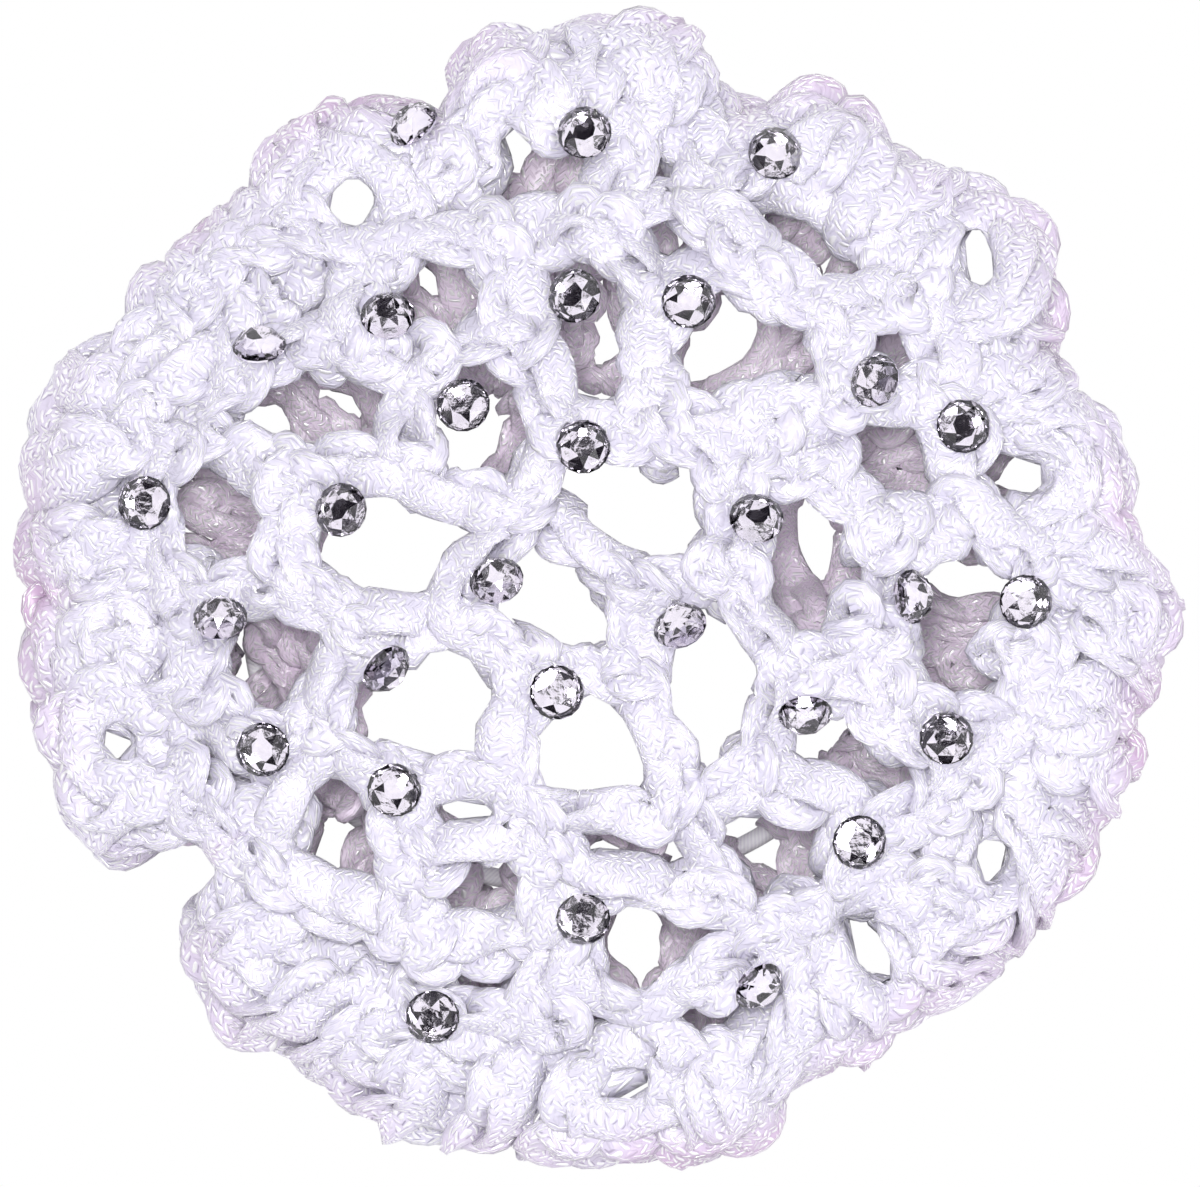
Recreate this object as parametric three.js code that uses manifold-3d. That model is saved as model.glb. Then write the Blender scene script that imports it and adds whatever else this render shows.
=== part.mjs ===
// Crochet hair snood, lying flat on its gathered side, seen from above.
// Millimetres, +Z up, the origin on the table under the middle.
// The net is crocheted in chains of knitted satin ribbon: a centre ring, five large meshes
// round it, wider rounds outside them, and a scalloped border that turns under to an elastic.
import * as THREE from "three";
import Module from "manifold-3d";

// Driving sizes of the net
const netWidth = 102.6;          // across the widest lobes of the border
const crownLevel = 21.4;         // height of the chains' middle line at the top of the crown
const brimLevel = 5.1;           // height that the crown's curve reaches at the border line
const crownCurve = 2.4;          // power of the crown's fall from the middle to the border
const hollowDepth = 0.5;         // depth of the soft dents round the crown
const hollowCount = 3;           // dents round the crown
const hollowTurn = 40;           // turn of the first dent, degrees

// Crocheted chain
const chainWidth = 6.9;          // across a chain at the fat of a stitch
const chainDepth = 3.2;          // through a chain
const chainWaist = 0.84;         // share of the width and depth left between two stitches
const stitchPitch = 8.8;         // length of one swelling of the chain
const crossLift = 0.35;          // height that one chain rides up where it crosses another

// Border, band and elastic
const borderWidth = 8.4;         // turned border, seen from above
const borderHeight = 10.6;       // height of the border's inner edge over the table
const borderWall = 2.7;          // thickness of the border's wall
const borderPuff = 0.8;          // how far a stitch of the border stands out
const borderStitches = 42;       // stitches round the border
const bandDepth = 3;             // thickness of the gathered band under the net
const bandGathers = 24;          // gathers round the band
const gatherDepth = 0.7;         // rise and fall of the gathers
const mouthLength = 55;          // elastic's middle line, left to right
const mouthWidth = 44;           // elastic's middle line, front to back
const mouthEast = -2.1;          // mouth's middle from the net's middle, to the right
const mouthNorth = -3;           // mouth's middle from the net's middle, to the back
const elasticDiameter = 1.6;     // covered elastic cord
const elasticLevel = 1.7;        // height of the cord's middle line
const gatherRoom = 0.1;          // more room round the cord, where the band's facets cut corners
const netRoom = 2;               // room over the band, under the lowest chains
const clearance = 0.3;           // gap kept between neighbouring pieces

// Glued flat-back stones
const stoneDiameter = 4.7;
const stoneHeight = 1.6;
const stoneTable = 0.5;          // table's width as a share of the stone's
const stoneSides = 16;           // corners of the girdle

const netHalf = netWidth / 2;
const share = netHalf / 100;     // one hundredth of the half width
const hexagon = 6;
const fullTurn = 360;            // degrees
const degree = 2 * Math.PI / fullTurn;
const tableLevel = 0;
const cutDepth = 1;              // how far a cutter starts below the table

// Knots of the net: name, east and north in hundredths of the half width
const centreKnots = [
  ["n1", -13, 13], ["n2", 7, 1], ["n3", 5, -13], ["n4", -12, -14], ["n5", -24, -5],
];
const secondKnots = [
  ["p1", -33, 21], ["p2", -8, 27], ["p3", 11, 27], ["p4", 24, 19], ["p5", 22, 4],
  ["p6", 33, -12], ["p7", 27, -30], ["p8", 13, -35], ["p9", -15, -34], ["p10", -34, -31],
  ["p11", -47, -23], ["p12", -41, -6], ["p13", -52, 2], ["p14", -50, 19],
];
const thirdKnots = [
  ["q1", -29, 38], ["q2", -13, 43], ["q3", 10, 50], ["q4", 25, 54], ["q5", 37, 47],
  ["q6", 42, 33], ["q7", 26, 29], ["q8", 37, 22], ["q9", 47, 10], ["q10", 47, -5],
  ["q11", 50, -19], ["q12", 58, -33], ["q13", 45, -40], ["q14", 35, -54], ["q15", 17, -49],
  ["q16", -9, -42], ["q17", -6, -56], ["q18", -30, -45], ["q19", -31, -58], ["q20", -57, -43],
  ["q21", -59, -24], ["q22", -67, -13], ["q23", -69, 1], ["q24", -75, 14], ["q25", -68, 27],
  ["q26", -59, 38], ["q27", -42, 44], ["q28", -34, 57], ["q29", -17, 58], ["q30", 1, 61],
];
const fourthKnots = [
  ["r1", -31, 76], ["r2", 4, 76], ["r3", 27, 76], ["r4", 21, 64], ["r5", 53, 70],
  ["r6", 55, 50], ["r7", 58, 31], ["r8", 74, 36], ["r9", 60, 12], ["r10", 80, 24],
  ["r11", 73, 7], ["r12", 71, -8], ["r13", 70, -22], ["r14", 84, -27], ["r15", 59, -50],
  ["r16", 61, -66], ["r17", 37, -69], ["r18", 20, -65], ["r19", -9, -71], ["r20", -28, -70],
  ["r21", -34, -76], ["r22", -55, -57], ["r23", -68, -36], ["r24", -82, -14], ["r25", -82, 4],
  ["r26", -80, 30], ["r27", -66, 50], ["r28", -51, 62], ["r29", -47, 77],
];

// Chains: the knots that each one runs through, and 1 where it rides over the others
const chains = [
  ["n1 n2 n3 n4 n5", 0, "closed"],
  ["n1 p1 p14 p13 p12 n5", 1],
  ["n1 p2 p3 p4 p5 n2", 1],
  ["p5 p6 p7 p8 n3", 0],
  ["p8 p9 n4", 1],
  ["p9 p10 p11 p12", 0],
  ["p1 q1 q2 p2", 0],
  ["p3 q3 q4 q5 q6 q7 p3", 0],
  ["p4 q8 q9 q10 p6", 0],
  ["q1 q27 q28 q29 q2", 1],
  ["q29 q30 q3", 0],
  ["q30 r4 q4", 1],
  ["p14 q25 q26 q27", 0],
  ["p13 q23 q24 q25", 1],
  ["p11 q21 q22 q23", 0],
  ["p10 q18 q16 p9", 1],
  ["q16 q15 p8", 0],
  ["p7 q13 q14 q15", 1],
  ["q16 q17", 0],
  ["q18 q19 q17", 0],
  ["p11 q20 q19", 1],
  ["q10 q11 q12 q13", 1],
  ["p6 q11", 0],
  ["q9 r9 r7 q6", 0],
  ["r9 r11 r12 r13 q11", 1],
  ["q5 r6 r7", 1],
  ["q12 r15 q14", 0],
  ["q28 r1", 0],
  ["q30 r2", 0],
  ["r4 r3", 1],
  ["r6 r5", 0],
  ["r7 r8 r10", 0],
  ["r11 r10", 0],
  ["r13 q12", 0],
  ["r13 r14", 1],
  ["r15 r16", 0],
  ["q14 r17", 0],
  ["q14 r18 q17", 0],
  ["q17 r19", 1],
  ["q19 r20 r21", 0],
  ["r19 r20", 0],
  ["q20 r22 r21", 0],
  ["q20 r23 r24", 1],
  ["q22 r24", 0],
  ["q23 r25", 0],
  ["q25 r26", 0],
  ["q26 r27 r28 q28", 1],
  ["r28 r29", 0],
];

// Openings that the chains alone leave too narrow: east, north, length and width in hundredths,
// turn of the length in degrees
const meshes = [
  [7, 13.5, 20, 13, -12],
  [-28, -17.5, 22, 15, 0],
  [-1, -25, 15, 14, 90],
  [27, -45, 15, 6, 95],
  [1.5, -42, 8, 5, 10],
  [-19, -48, 12, 7, 40],
  [-21, -37, 8, 4, -15],
  [-53, -9.5, 18, 9, 20],
  [-62, 11.5, 13, 9, -15],
  [-27.5, 50, 13, 7, 105],
  [14, 73, 14, 4, 110],
  [12, 60, 7, 5, 120],
  [49, 24, 13, 9, 45],
  [71, 19.5, 12, 8, -20],
  [67, -42, 20, 8, 80],
  [46, -58, 14, 9, -50],
  [6.5, -59, 12, 11, 90],
  [-19, -78, 14, 5, -45],
  [-43, -63, 18, 5, 105],
  [-77, -25, 14, 6, -8],
  [-79, -3, 9, 5, 55],
  [-41, 66, 9, 8, 20],
];

// Openings of the band under them, in the same columns
const bandHoles = [
  [-13.5, 75, 7, 6, 10],
  [-41, 66, 9, 8, 20],
  [-56.5, 51, 8, 5, 80],
  [-54, 29, 8, 7, 0],
  [2, 42, 7, 4, 15],
  [21, 43, 15, 6, 40],
  [63.5, 56, 9, 5, 90],
  [71, 20, 8, 7, 0],
  [60, 3, 9, 8, -50],
  [66.5, -45, 9, 7, 90],
  [46, -59, 13, 6, -50],
  [6.5, -59, 11, 11, 90],
  [-79, -25, 7, 6, 90],
  [-45, -41, 8, 5, 20],
];

// Scallops of the border, anticlockwise from the right: turn and reach of the tip, then of the
// notch after it, degrees and hundredths of the half width
const scallops = [
  [-1, 100, 8, 91],
  [17, 94.5, 29, 87.5],
  [40, 97, 52, 90.5],
  [64, 97, 73, 85.5],
  [84, 99.5, 94, 95.5],
  [101, 98, 109, 86.5],
  [120, 95, 132, 89.5],
  [138, 92.5, 145, 91.5],
  [161, 101, 170, 98],
  [175.5, 100, 180, 93],
  [186, 99.5, 192, 94.5],
  [204, 99, 214, 76],
  [229, 98, 236, 93],
  [250, 98, 262, 95.5],
  [269, 98.5, 274, 95],
  [281, 99.5, 296, 90.5],
  [304, 92, 308, 88.5],
  [326, 95, 337, 94],
  [341, 97.5, 344, 95],
  [346, 95.5, 350, 93.5],
];

// Stones: east and north in hundredths, lean from level and the way it leans, degrees
const stones = [
  [-30.8, 78.6, 55, 130], [-2.2, 77.4, 18, 110], [29.8, 73.7, 16, 70],
  [-35, 47.2, 32, 95], [-4.7, 50.1, 18, 160], [15.4, 49.2, 12, 75],
  [-56.3, 40.7, 55, 95], [-22.8, 32.3, 14, 120], [-2.3, 24.8, 10, 90],
  [46.9, 35.3, 32, 155], [61.3, 28.1, 10, 30], [-75.7, 15.2, 14, 170],
  [-43.2, 14.2, 22, 160], [26.6, 12.7, 26, 80], [-16.8, 2.5, 34, 105],
  [54.1, -0.3, 48, 5], [71.9, -1.3, 14, 355], [-62.8, -5, 38, 95],
  [13.9, -5.4, 40, 115], [-34.3, -13.4, 50, 315], [-6.5, -16.4, 8, 0],
  [34.7, -19.6, 48, 275], [58.3, -24.3, 14, 90], [-55.9, -26, 10, 200],
  [-33.8, -32.7, 14, 60], [43.9, -41.5, 10, 315], [-2.3, -54.6, 20, 270],
  [-27.6, -70.9, 14, 250], [27.5, -66, 50, 315],
];

const wasm = await Module();
wasm.setup();

// Height of the chains' middle line over a place in the plan
function crownHeight(x, y) {
  const reach = Math.hypot(x, y) / netHalf;
  const dents = Math.cos(hollowCount * (Math.atan2(y, x) - hollowTurn * degree));
  const fall = 1 - Math.pow(reach, crownCurve);
  return brimLevel + (crownLevel - brimLevel) * fall + hollowDepth * reach * dents;
}

// Upward normal of the crown's curve over a place in the plan
function crownNormal(x, y) {
  const step = 0.5;
  const alongX = crownHeight(x + step, y) - crownHeight(x - step, y);
  const alongY = crownHeight(x, y + step) - crownHeight(x, y - step);
  return new THREE.Vector3(-alongX, -alongY, 2 * step).normalize();
}

// Reach of the border line at a turn: round lobes between the notches, in millimetres
function borderReach(angle) {
  const lobeRoundness = 0.7;
  const turn = angle / degree;
  for (let i = 0; i < scallops.length; i++) {
    const before = scallops[(i + scallops.length - 1) % scallops.length];
    const [tip, tipReach, notch, notchReach] = scallops[i];
    const start = i === 0 ? before[2] - fullTurn : before[2];
    const at = turn >= start + fullTurn ? turn - fullTurn : turn;
    if (at < start || at >= notch) continue;
    const rising = at < tip;
    const low = rising ? before[3] : notchReach;
    const part = rising ? (at - start) / (tip - start) : (notch - at) / (notch - tip);
    return (low + (tipReach - low) * Math.pow(Math.sin(part * Math.PI / 2), lobeRoundness)) * share;
  }
  return netHalf;
}

// Closed solid from rings of points: open ends get a cap, a closed run joins its last ring to
// its first
function ringSolid(rings, closed) {
  const sides = rings[0].length;
  const points = rings.flat();
  const faces = [];
  const runs = closed ? rings.length : rings.length - 1;
  for (let i = 0; i < runs; i++) {
    const near = i * sides;
    const far = ((i + 1) % rings.length) * sides;
    for (let k = 0; k < sides; k++) {
      const next = (k + 1) % sides;
      faces.push(near + k, near + next, far + next);
      faces.push(near + k, far + next, far + k);
    }
  }
  if (!closed) {
    const last = (rings.length - 1) * sides;
    for (let k = 1; k < sides - 1; k++) {
      faces.push(0, k + 1, k);
      faces.push(last, last + k, last + k + 1);
    }
  }
  return { points, faces };
}

function toManifold({ points, faces }) {
  const vertProperties = new Float32Array(points.flatMap((p) => [p.x, p.y, p.z]));
  const triVerts = new Uint32Array(faces);
  return new wasm.Manifold(new wasm.Mesh({ numProp: 3, vertProperties, triVerts }));
}

function toGeometry(solid) {
  const mesh = solid.getMesh();
  const geometry = new THREE.BufferGeometry();
  geometry.setAttribute("position", new THREE.BufferAttribute(mesh.vertProperties, 3));
  geometry.setIndex(new THREE.BufferAttribute(mesh.triVerts, 1));
  geometry.computeVertexNormals();
  return geometry;
}

// Six-sided chain along a curve in the plan, laid on the crown, fat at each stitch
function chainSolid(curve, lift, closed) {
  const length = curve.getLength();
  const halves = Math.max(3, Math.round(2 * length / stitchPitch));
  const count = closed ? halves + halves % 2 : halves;
  const rings = [];
  for (let i = 0; i < count + (closed ? 0 : 1); i++) {
    const at = i / count;
    const spot = curve.getPointAt(at);
    const run = curve.getTangentAt(at);
    const up = crownNormal(spot.x, spot.y);
    const middle = new THREE.Vector3(spot.x, spot.y, crownHeight(spot.x, spot.y) + lift);
    const side = new THREE.Vector3().crossVectors(up, run).normalize();
    const swell = i % 2 === 0 ? 1 : chainWaist;
    const ring = [];
    for (let k = 0; k < hexagon; k++) {
      const angle = k * 2 * Math.PI / hexagon;
      const across = Math.cos(angle) * chainWidth / 2 * swell;
      const through = Math.sin(angle) / Math.sin(Math.PI / 3) * chainDepth / 2 * swell;
      ring.push(middle.clone().addScaledVector(side, across).addScaledVector(up, through));
    }
    rings.push(ring);
  }
  return toManifold(ringSolid(rings, closed));
}

// Upright cutter with a soft diamond outline, between two heights
function meshCutter([east, north, length, width, turn], low, high) {
  const corners = 6;
  const softness = 0.95;         // reach of the corners beside the two end ones
  const ring = (z) => {
    const points = [];
    for (let k = 0; k < corners; k++) {
      const angle = k * 2 * Math.PI / corners;
      const edge = k % 3 === 0 ? 1 : softness;
      const along = Math.cos(angle) * length / 2 * edge * share;
      const across = Math.sin(angle) * width / 2 * edge * share;
      const lean = turn * degree;
      const x = east * share + along * Math.cos(lean) - across * Math.sin(lean);
      const y = north * share + along * Math.sin(lean) + across * Math.cos(lean);
      points.push(new THREE.Vector3(x, y, z));
    }
    return points;
  };
  return toManifold(ringSolid([ring(low), ring(high)], false));
}

// Ring of vertical sections round the net: section(angle, index) gives its points
function turnedRing(stations, section) {
  const rings = [];
  for (let i = 0; i < stations; i++) {
    const angle = i / stations * 2 * Math.PI;
    const flat = section(angle, i);
    rings.push(flat.map(([reach, z]) =>
      new THREE.Vector3(reach * Math.cos(angle), reach * Math.sin(angle), z)));
  }
  return toManifold(ringSolid(rings, true));
}

// Border: a wall that runs out from under the net, round the edge and back under it, with its
// stitches standing out. Rows of the section: inset, height and stitch relief as shares
function borderSolid() {
  const up = borderWall / borderHeight;
  const inward = borderWall / borderWidth;
  const outside = [[1, 1, 0], [0.42, 0.86, 0.7], [0, 0.45, 1], [0.42, 0.04, 0.3], [1, 0, 0]];
  const inside = [[1, up, 0], [inward, 0.45, 0], [1, 1 - up, 0]];
  return turnedRing(2 * borderStitches, (angle, index) => {
    const edge = borderReach(angle);
    const puff = index % 2 === 0 ? 0 : borderPuff;
    return [...outside, ...inside].map(([inset, level, relief]) =>
      [edge - inset * borderWidth - relief * puff, level * borderHeight]);
  });
}

// Reach of the elastic's middle line from the net's middle, at a turn round the net
function elasticReach(angle) {
  const corrections = 12;
  let reach = mouthWidth / 2;
  for (let i = 0; i < corrections; i++) {
    const x = reach * Math.cos(angle) - mouthEast;
    const y = reach * Math.sin(angle) - mouthNorth;
    const scale = Math.hypot(x / (mouthLength / 2), y / (mouthWidth / 2));
    reach += (1 - scale) * mouthWidth / 2;
  }
  return reach;
}

// Gathered band from the elastic out to the border, flat on the table
function bandSolid() {
  const browShare = 0.8;         // height of the band's two edges as a share of its thickness
  const inner = elasticDiameter / 2 + clearance + gatherRoom;
  const outer = borderWidth + clearance;
  const step = 2 * Math.PI / borderStitches;
  const neighbours = [-1, -0.5, 0, 0.5, 1];
  return turnedRing(borderStitches, (angle) => {
    const start = elasticReach(angle) + inner;
    const near = neighbours.map((part) =>
      borderReach((angle + part * step + 2 * Math.PI) % (2 * Math.PI)));
    const end = Math.min(...near) - outer;
    const wave = Math.cos(bandGathers * angle) * gatherDepth / 2;
    const ridge = [(start + end) / 2, bandDepth + wave];
    const brow = bandDepth * browShare;
    return [[start, 0], [start, brow], ridge, [end, brow], [end, 0]];
  });
}

function elasticSolid() {
  const corners = 6;
  const stations = 32;
  return turnedRing(stations, (angle) => {
    const middle = elasticReach(angle);
    const section = [];
    for (let k = 0; k < corners; k++) {
      const around = -k * 2 * Math.PI / corners;
      const half = elasticDiameter / 2;
      section.push([middle + Math.cos(around) * half, elasticLevel + Math.sin(around) * half]);
    }
    return section;
  });
}

// Place of a stone: its flat back lies a clearance above the highest stitch under it
function stonePlace([east, north, lean, way], net) {
  const tilt = lean * degree;
  const up = new THREE.Vector3(
    Math.sin(tilt) * Math.cos(way * degree),
    Math.sin(tilt) * Math.sin(way * degree),
    Math.cos(tilt));
  const turn = new THREE.Quaternion().setFromUnitVectors(new THREE.Vector3(0, 0, 1), up);
  const over = new THREE.Vector3(east * share, north * share, 0);
  over.z = crownHeight(over.x, over.y) + chainDepth;
  const above = { back: over, turn };
  const soundings = [0.5, 0.98]; // shares of the radius where the room under it is measured
  const sights = [over];
  for (const part of soundings) {
    sights.push(...placedRing(above, stoneSides, stoneDiameter / 2 * part, 0));
  }
  let room = chainDepth;
  for (const sight of sights) {
    const start = sight.clone().addScaledVector(up, chainDepth);
    const hit = new THREE.Raycaster(start, up.clone().negate()).intersectObject(net)[0];
    if (hit) room = Math.min(room, hit.distance - chainDepth);
  }
  return { back: over.clone().addScaledVector(up, clearance - room), turn };
}

function placedRing(place, sides, radius, height) {
  const ring = [];
  for (let k = 0; k < sides; k++) {
    const angle = (k + 0.5) * 2 * Math.PI / sides;
    const point = new THREE.Vector3(radius * Math.cos(angle), radius * Math.sin(angle), height);
    ring.push(point.applyQuaternion(place.turn).add(place.back));
  }
  return ring;
}

// Flat-back stone: flat girdle outline, eight main facets with a break facet each side, table
function stoneGeometry(place) {
  const girdle = placedRing(place, stoneSides, stoneDiameter / 2, 0);
  const table = placedRing(place, stoneSides / 2, stoneDiameter / 2 * stoneTable, stoneHeight);
  const points = [...girdle, ...table];
  const faces = [];
  for (let k = 1; k < stoneSides - 1; k++) faces.push(0, k + 1, k);
  for (let k = 0; k < stoneSides / 2; k++) {
    const first = 2 * k;
    const second = 2 * k + 1;
    const third = (2 * k + 2) % stoneSides;
    const high = stoneSides + k;
    const nextHigh = stoneSides + (k + 1) % (stoneSides / 2);
    faces.push(first, second, high);
    faces.push(second, nextHigh, high);
    faces.push(second, third, nextHigh);
  }
  for (let k = 1; k < stoneSides / 2 - 1; k++) {
    faces.push(stoneSides, stoneSides + k, stoneSides + k + 1);
  }
  return toGeometry(toManifold({ points, faces }));
}

// Crown net
const knots = new Map();
for (const [name, east, north] of [...centreKnots, ...secondKnots, ...thirdKnots, ...fourthKnots]) {
  knots.set(name, new THREE.Vector3(east * share, north * share, 0));
}
let crown = null;
for (const [run, over, kind] of chains) {
  const spots = run.split(" ").map((name) => knots.get(name));
  const closed = kind === "closed";
  const curve = new THREE.CatmullRomCurve3(spots, closed, "centripetal");
  const chain = chainSolid(curve, over * crossLift, closed);
  crown = crown === null ? chain : crown.add(chain);
}
const crownFloor = bandDepth + netRoom;
const crownCeiling = crownLevel + chainDepth;
for (const row of meshes) crown = crown.subtract(meshCutter(row, crownFloor, crownCeiling));
const underside = [0, 0, 2 * netWidth / share, 2 * netWidth / share, 0];
crown = crown.subtract(meshCutter(underside, tableLevel - cutDepth, borderHeight + clearance));
const crownGeometry = toGeometry(crown);
const crownMesh = new THREE.Mesh(crownGeometry);
const places = stones.map((row) => stonePlace(row, crownMesh));

// Band with its openings
let band = bandSolid();
for (const row of bandHoles) {
  band = band.subtract(meshCutter(row, tableLevel - cutDepth, 2 * bandDepth));
}

const group = new THREE.Group();
const yarn = { color: 0xe9e4f0, roughness: 0.55, metalness: 0 };

function addPiece(name, geometry, look) {
  const mesh = new THREE.Mesh(geometry, new THREE.MeshStandardMaterial(look));
  mesh.name = name;
  group.add(mesh);
}

addPiece("crown_net", crownGeometry, yarn);
addPiece("edge_ruffle", toGeometry(borderSolid()), yarn);
addPiece("gathered_band", toGeometry(band), { ...yarn, color: 0xd9d2e0 });
addPiece("elastic_ring", toGeometry(elasticSolid()), { ...yarn, color: 0xf2eff4, roughness: 0.7 });
places.forEach((place, index) => {
  const name = "rhinestone_" + String(index + 1).padStart(2, "0");
  addPiece(name, stoneGeometry(place), { color: 0xb9bcc4, roughness: 0.08, metalness: 0.9 });
});

// The origin stands on the table under the middle of the whole piece
const bounds = new THREE.Box3();
for (const mesh of group.children) {
  mesh.geometry.computeBoundingBox();
  bounds.union(mesh.geometry.boundingBox);
}
const middle = bounds.getCenter(new THREE.Vector3());
for (const mesh of group.children) mesh.position.set(-middle.x, -middle.y, -bounds.min.z);

export default group;
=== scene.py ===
"""Looks of a crocheted hair snood with glued stones, lying flat and seen from straight above.

All sizes are in millimetres here and turn to metres where a mesh is made. The plan's origin is
the middle of the net, as in the part's source, and `SHIFT` takes it to the row frame.
"""

import bpy
import numpy as np
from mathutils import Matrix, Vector


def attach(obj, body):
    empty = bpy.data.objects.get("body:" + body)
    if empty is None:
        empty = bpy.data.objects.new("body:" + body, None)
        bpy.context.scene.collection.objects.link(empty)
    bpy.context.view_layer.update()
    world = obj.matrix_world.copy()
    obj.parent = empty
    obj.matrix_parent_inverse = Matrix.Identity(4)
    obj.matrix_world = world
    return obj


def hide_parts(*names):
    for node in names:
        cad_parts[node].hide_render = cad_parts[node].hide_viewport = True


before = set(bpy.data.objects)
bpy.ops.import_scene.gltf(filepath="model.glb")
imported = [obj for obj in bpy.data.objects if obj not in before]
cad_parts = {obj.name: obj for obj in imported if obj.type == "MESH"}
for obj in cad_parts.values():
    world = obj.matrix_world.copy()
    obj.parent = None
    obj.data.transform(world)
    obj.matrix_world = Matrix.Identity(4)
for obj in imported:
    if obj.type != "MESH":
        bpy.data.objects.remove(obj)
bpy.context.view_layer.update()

MM = 0.001
TAU = 2 * np.pi
SHIFT = np.array([-0.4495, -0.3755, 0.0])

# Driving sizes, as in the part's source
NET_WIDTH = 102.6
NET_HALF = NET_WIDTH / 2
SHARE = NET_HALF / 100
CROWN_LEVEL = 21.4
BRIM_LEVEL = 5.1
CROWN_CURVE = 2.4
HOLLOW_DEPTH = 0.5
HOLLOW_COUNT = 3
HOLLOW_TURN = 40
MOUTH_LENGTH = 55
MOUTH_WIDTH = 44
MOUTH_EAST = -2.1
MOUTH_NORTH = -3
ELASTIC_DIAMETER = 1.6
ELASTIC_LEVEL = 1.7
STONE_DIAMETER = 4.7
STONE_HEIGHT = 1.6
STONE_COUNT = 29

# Ribbon yarn: a knitted satin ribbon, flat width and thickness
RIBBON_WIDTH = 4.3
RIBBON_THICK = 1.3
STITCH = 5.0                     # length of one chain stitch
TABLE_GAP = 0.05                 # the ribbon is pressed flat this far above the table
GIRTH_SHARE = 0.85               # a soft strand's girth as a share of the flat ribbon's
FLOAT_ROWS = 0.44                # distance between rows of the knitted ribbon's bright floats
FLOAT_PITCH = 0.66               # distance between two floats of a row

# Distance of a ribbon's middle line from the edge of an opening that it bounds
CROWN_MARGIN = 2.2
ROW_MARGIN = 2.4
SHELL_MARGIN = 2.6
POST_MARGIN = 1.9

# The ribbon's own faces may stand this far over an opening's edge. What is further in is pushed
# out, and the push fades over these distances
OVERHANG = 0.15
LINE_FADE = 1.2
FLOOR_FADE = 0.7
NOTCH_FADE = 2.2
WIDE_OPENING = 0.85              # least reach of an opening that the border's rows are led past

# Share of the outline's reach where the border's rim begins, and over which it grows
RIM_START = 0.87
RIM_SPAN = 0.11

# Knots of the net: name, east and north in hundredths of the half width
KNOTS = [
    ("n1", -13, 13), ("n2", 7, 1), ("n3", 5, -13), ("n4", -12, -14), ("n5", -24, -5),
    ("p1", -33, 21), ("p2", -8, 27), ("p3", 11, 27), ("p4", 24, 19), ("p5", 22, 4),
    ("p6", 31.5, -13), ("p7", 25, -30), ("p8", 13, -35), ("p9", -15, -34), ("p10", -34, -31),
    ("p11", -47, -23), ("p12", -41, -6), ("p13", -52, 2), ("p14", -50, 19),
    ("q1", -29, 38), ("q2", -13, 43), ("q3", 10, 50), ("q4", 25, 54), ("q5", 37, 47),
    ("q6", 42, 33), ("q7", 26, 29), ("q8", 37, 22), ("q9", 47, 10), ("q10", 47, -5),
    ("q11", 50, -19), ("q12", 58, -33), ("q13", 45, -40), ("q14", 35, -54), ("q15", 17, -49),
    ("q16", -9, -42), ("q17", -6, -56), ("q18", -30, -45), ("q19", -31, -58), ("q20", -57, -43),
    ("q21", -59, -24), ("q22", -67, -13), ("q23", -69, 1), ("q24", -75, 14), ("q25", -68, 27),
    ("q26", -59, 38), ("q27", -42, 44), ("q28", -34, 57), ("q29", -17, 58), ("q30", 1, 61),
    ("r1", -31, 76), ("r2", 4, 76), ("r3", 27, 76), ("r4", 21, 64), ("r5", 53, 70),
    ("r6", 55, 50), ("r7", 58, 31), ("r8", 74, 36), ("r9", 60, 12), ("r10", 80, 24),
    ("r11", 73, 7), ("r12", 71, -8), ("r13", 70, -22), ("r14", 84, -27), ("r15", 59, -50),
    ("r16", 61, -66), ("r17", 37, -69), ("r18", 20, -65), ("r19", -9, -71), ("r20", -28, -70),
    ("r21", -34, -76), ("r22", -55, -57), ("r23", -68, -36), ("r24", -82, -14), ("r25", -82, 4),
    ("r26", -80, 30), ("r27", -66, 50), ("r28", -51, 62), ("r29", -47, 77),
]

# Chains of the crown: their knots, 1 where a chain rides over, 1 where it closes on itself
INNER_CHAINS = [
    ("n1 n2 n3 n4 n5", 0, 1),
    ("n1 p1 p14 p13 p12 n5", 1, 0),
    ("n1 p2 p3 p4 p5 n2", 1, 0),
    ("p5 p6 p7 p8 n3", 0, 0),
    ("p8 p9 n4", 1, 0),
    ("p9 p10 p11 p12", 0, 0),
    ("p1 q1 q2 p2", 0, 0),
    ("p3 q3 q4 q5 q6 q7 p3", 0, 0),
    ("p4 q8 q9 q10 p6", 0, 0),
    ("q1 q27 q28 q29 q2", 1, 0),
    ("p14 q25 q26 q27", 0, 0),
    ("p13 q23 q24 q25", 1, 0),
    ("p11 q21 q22 q23", 0, 0),
    ("p10 q18 q16 p9", 1, 0),
    ("q16 q15 p8", 0, 0),
    ("p7 q13 q14 q15", 1, 0),
    ("q16 q17", 0, 0),
    ("q18 q19 q17", 0, 0),
    ("p6 q11", 0, 0),
    ("q10 q11 q12 q13", 1, 0),
]
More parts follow.
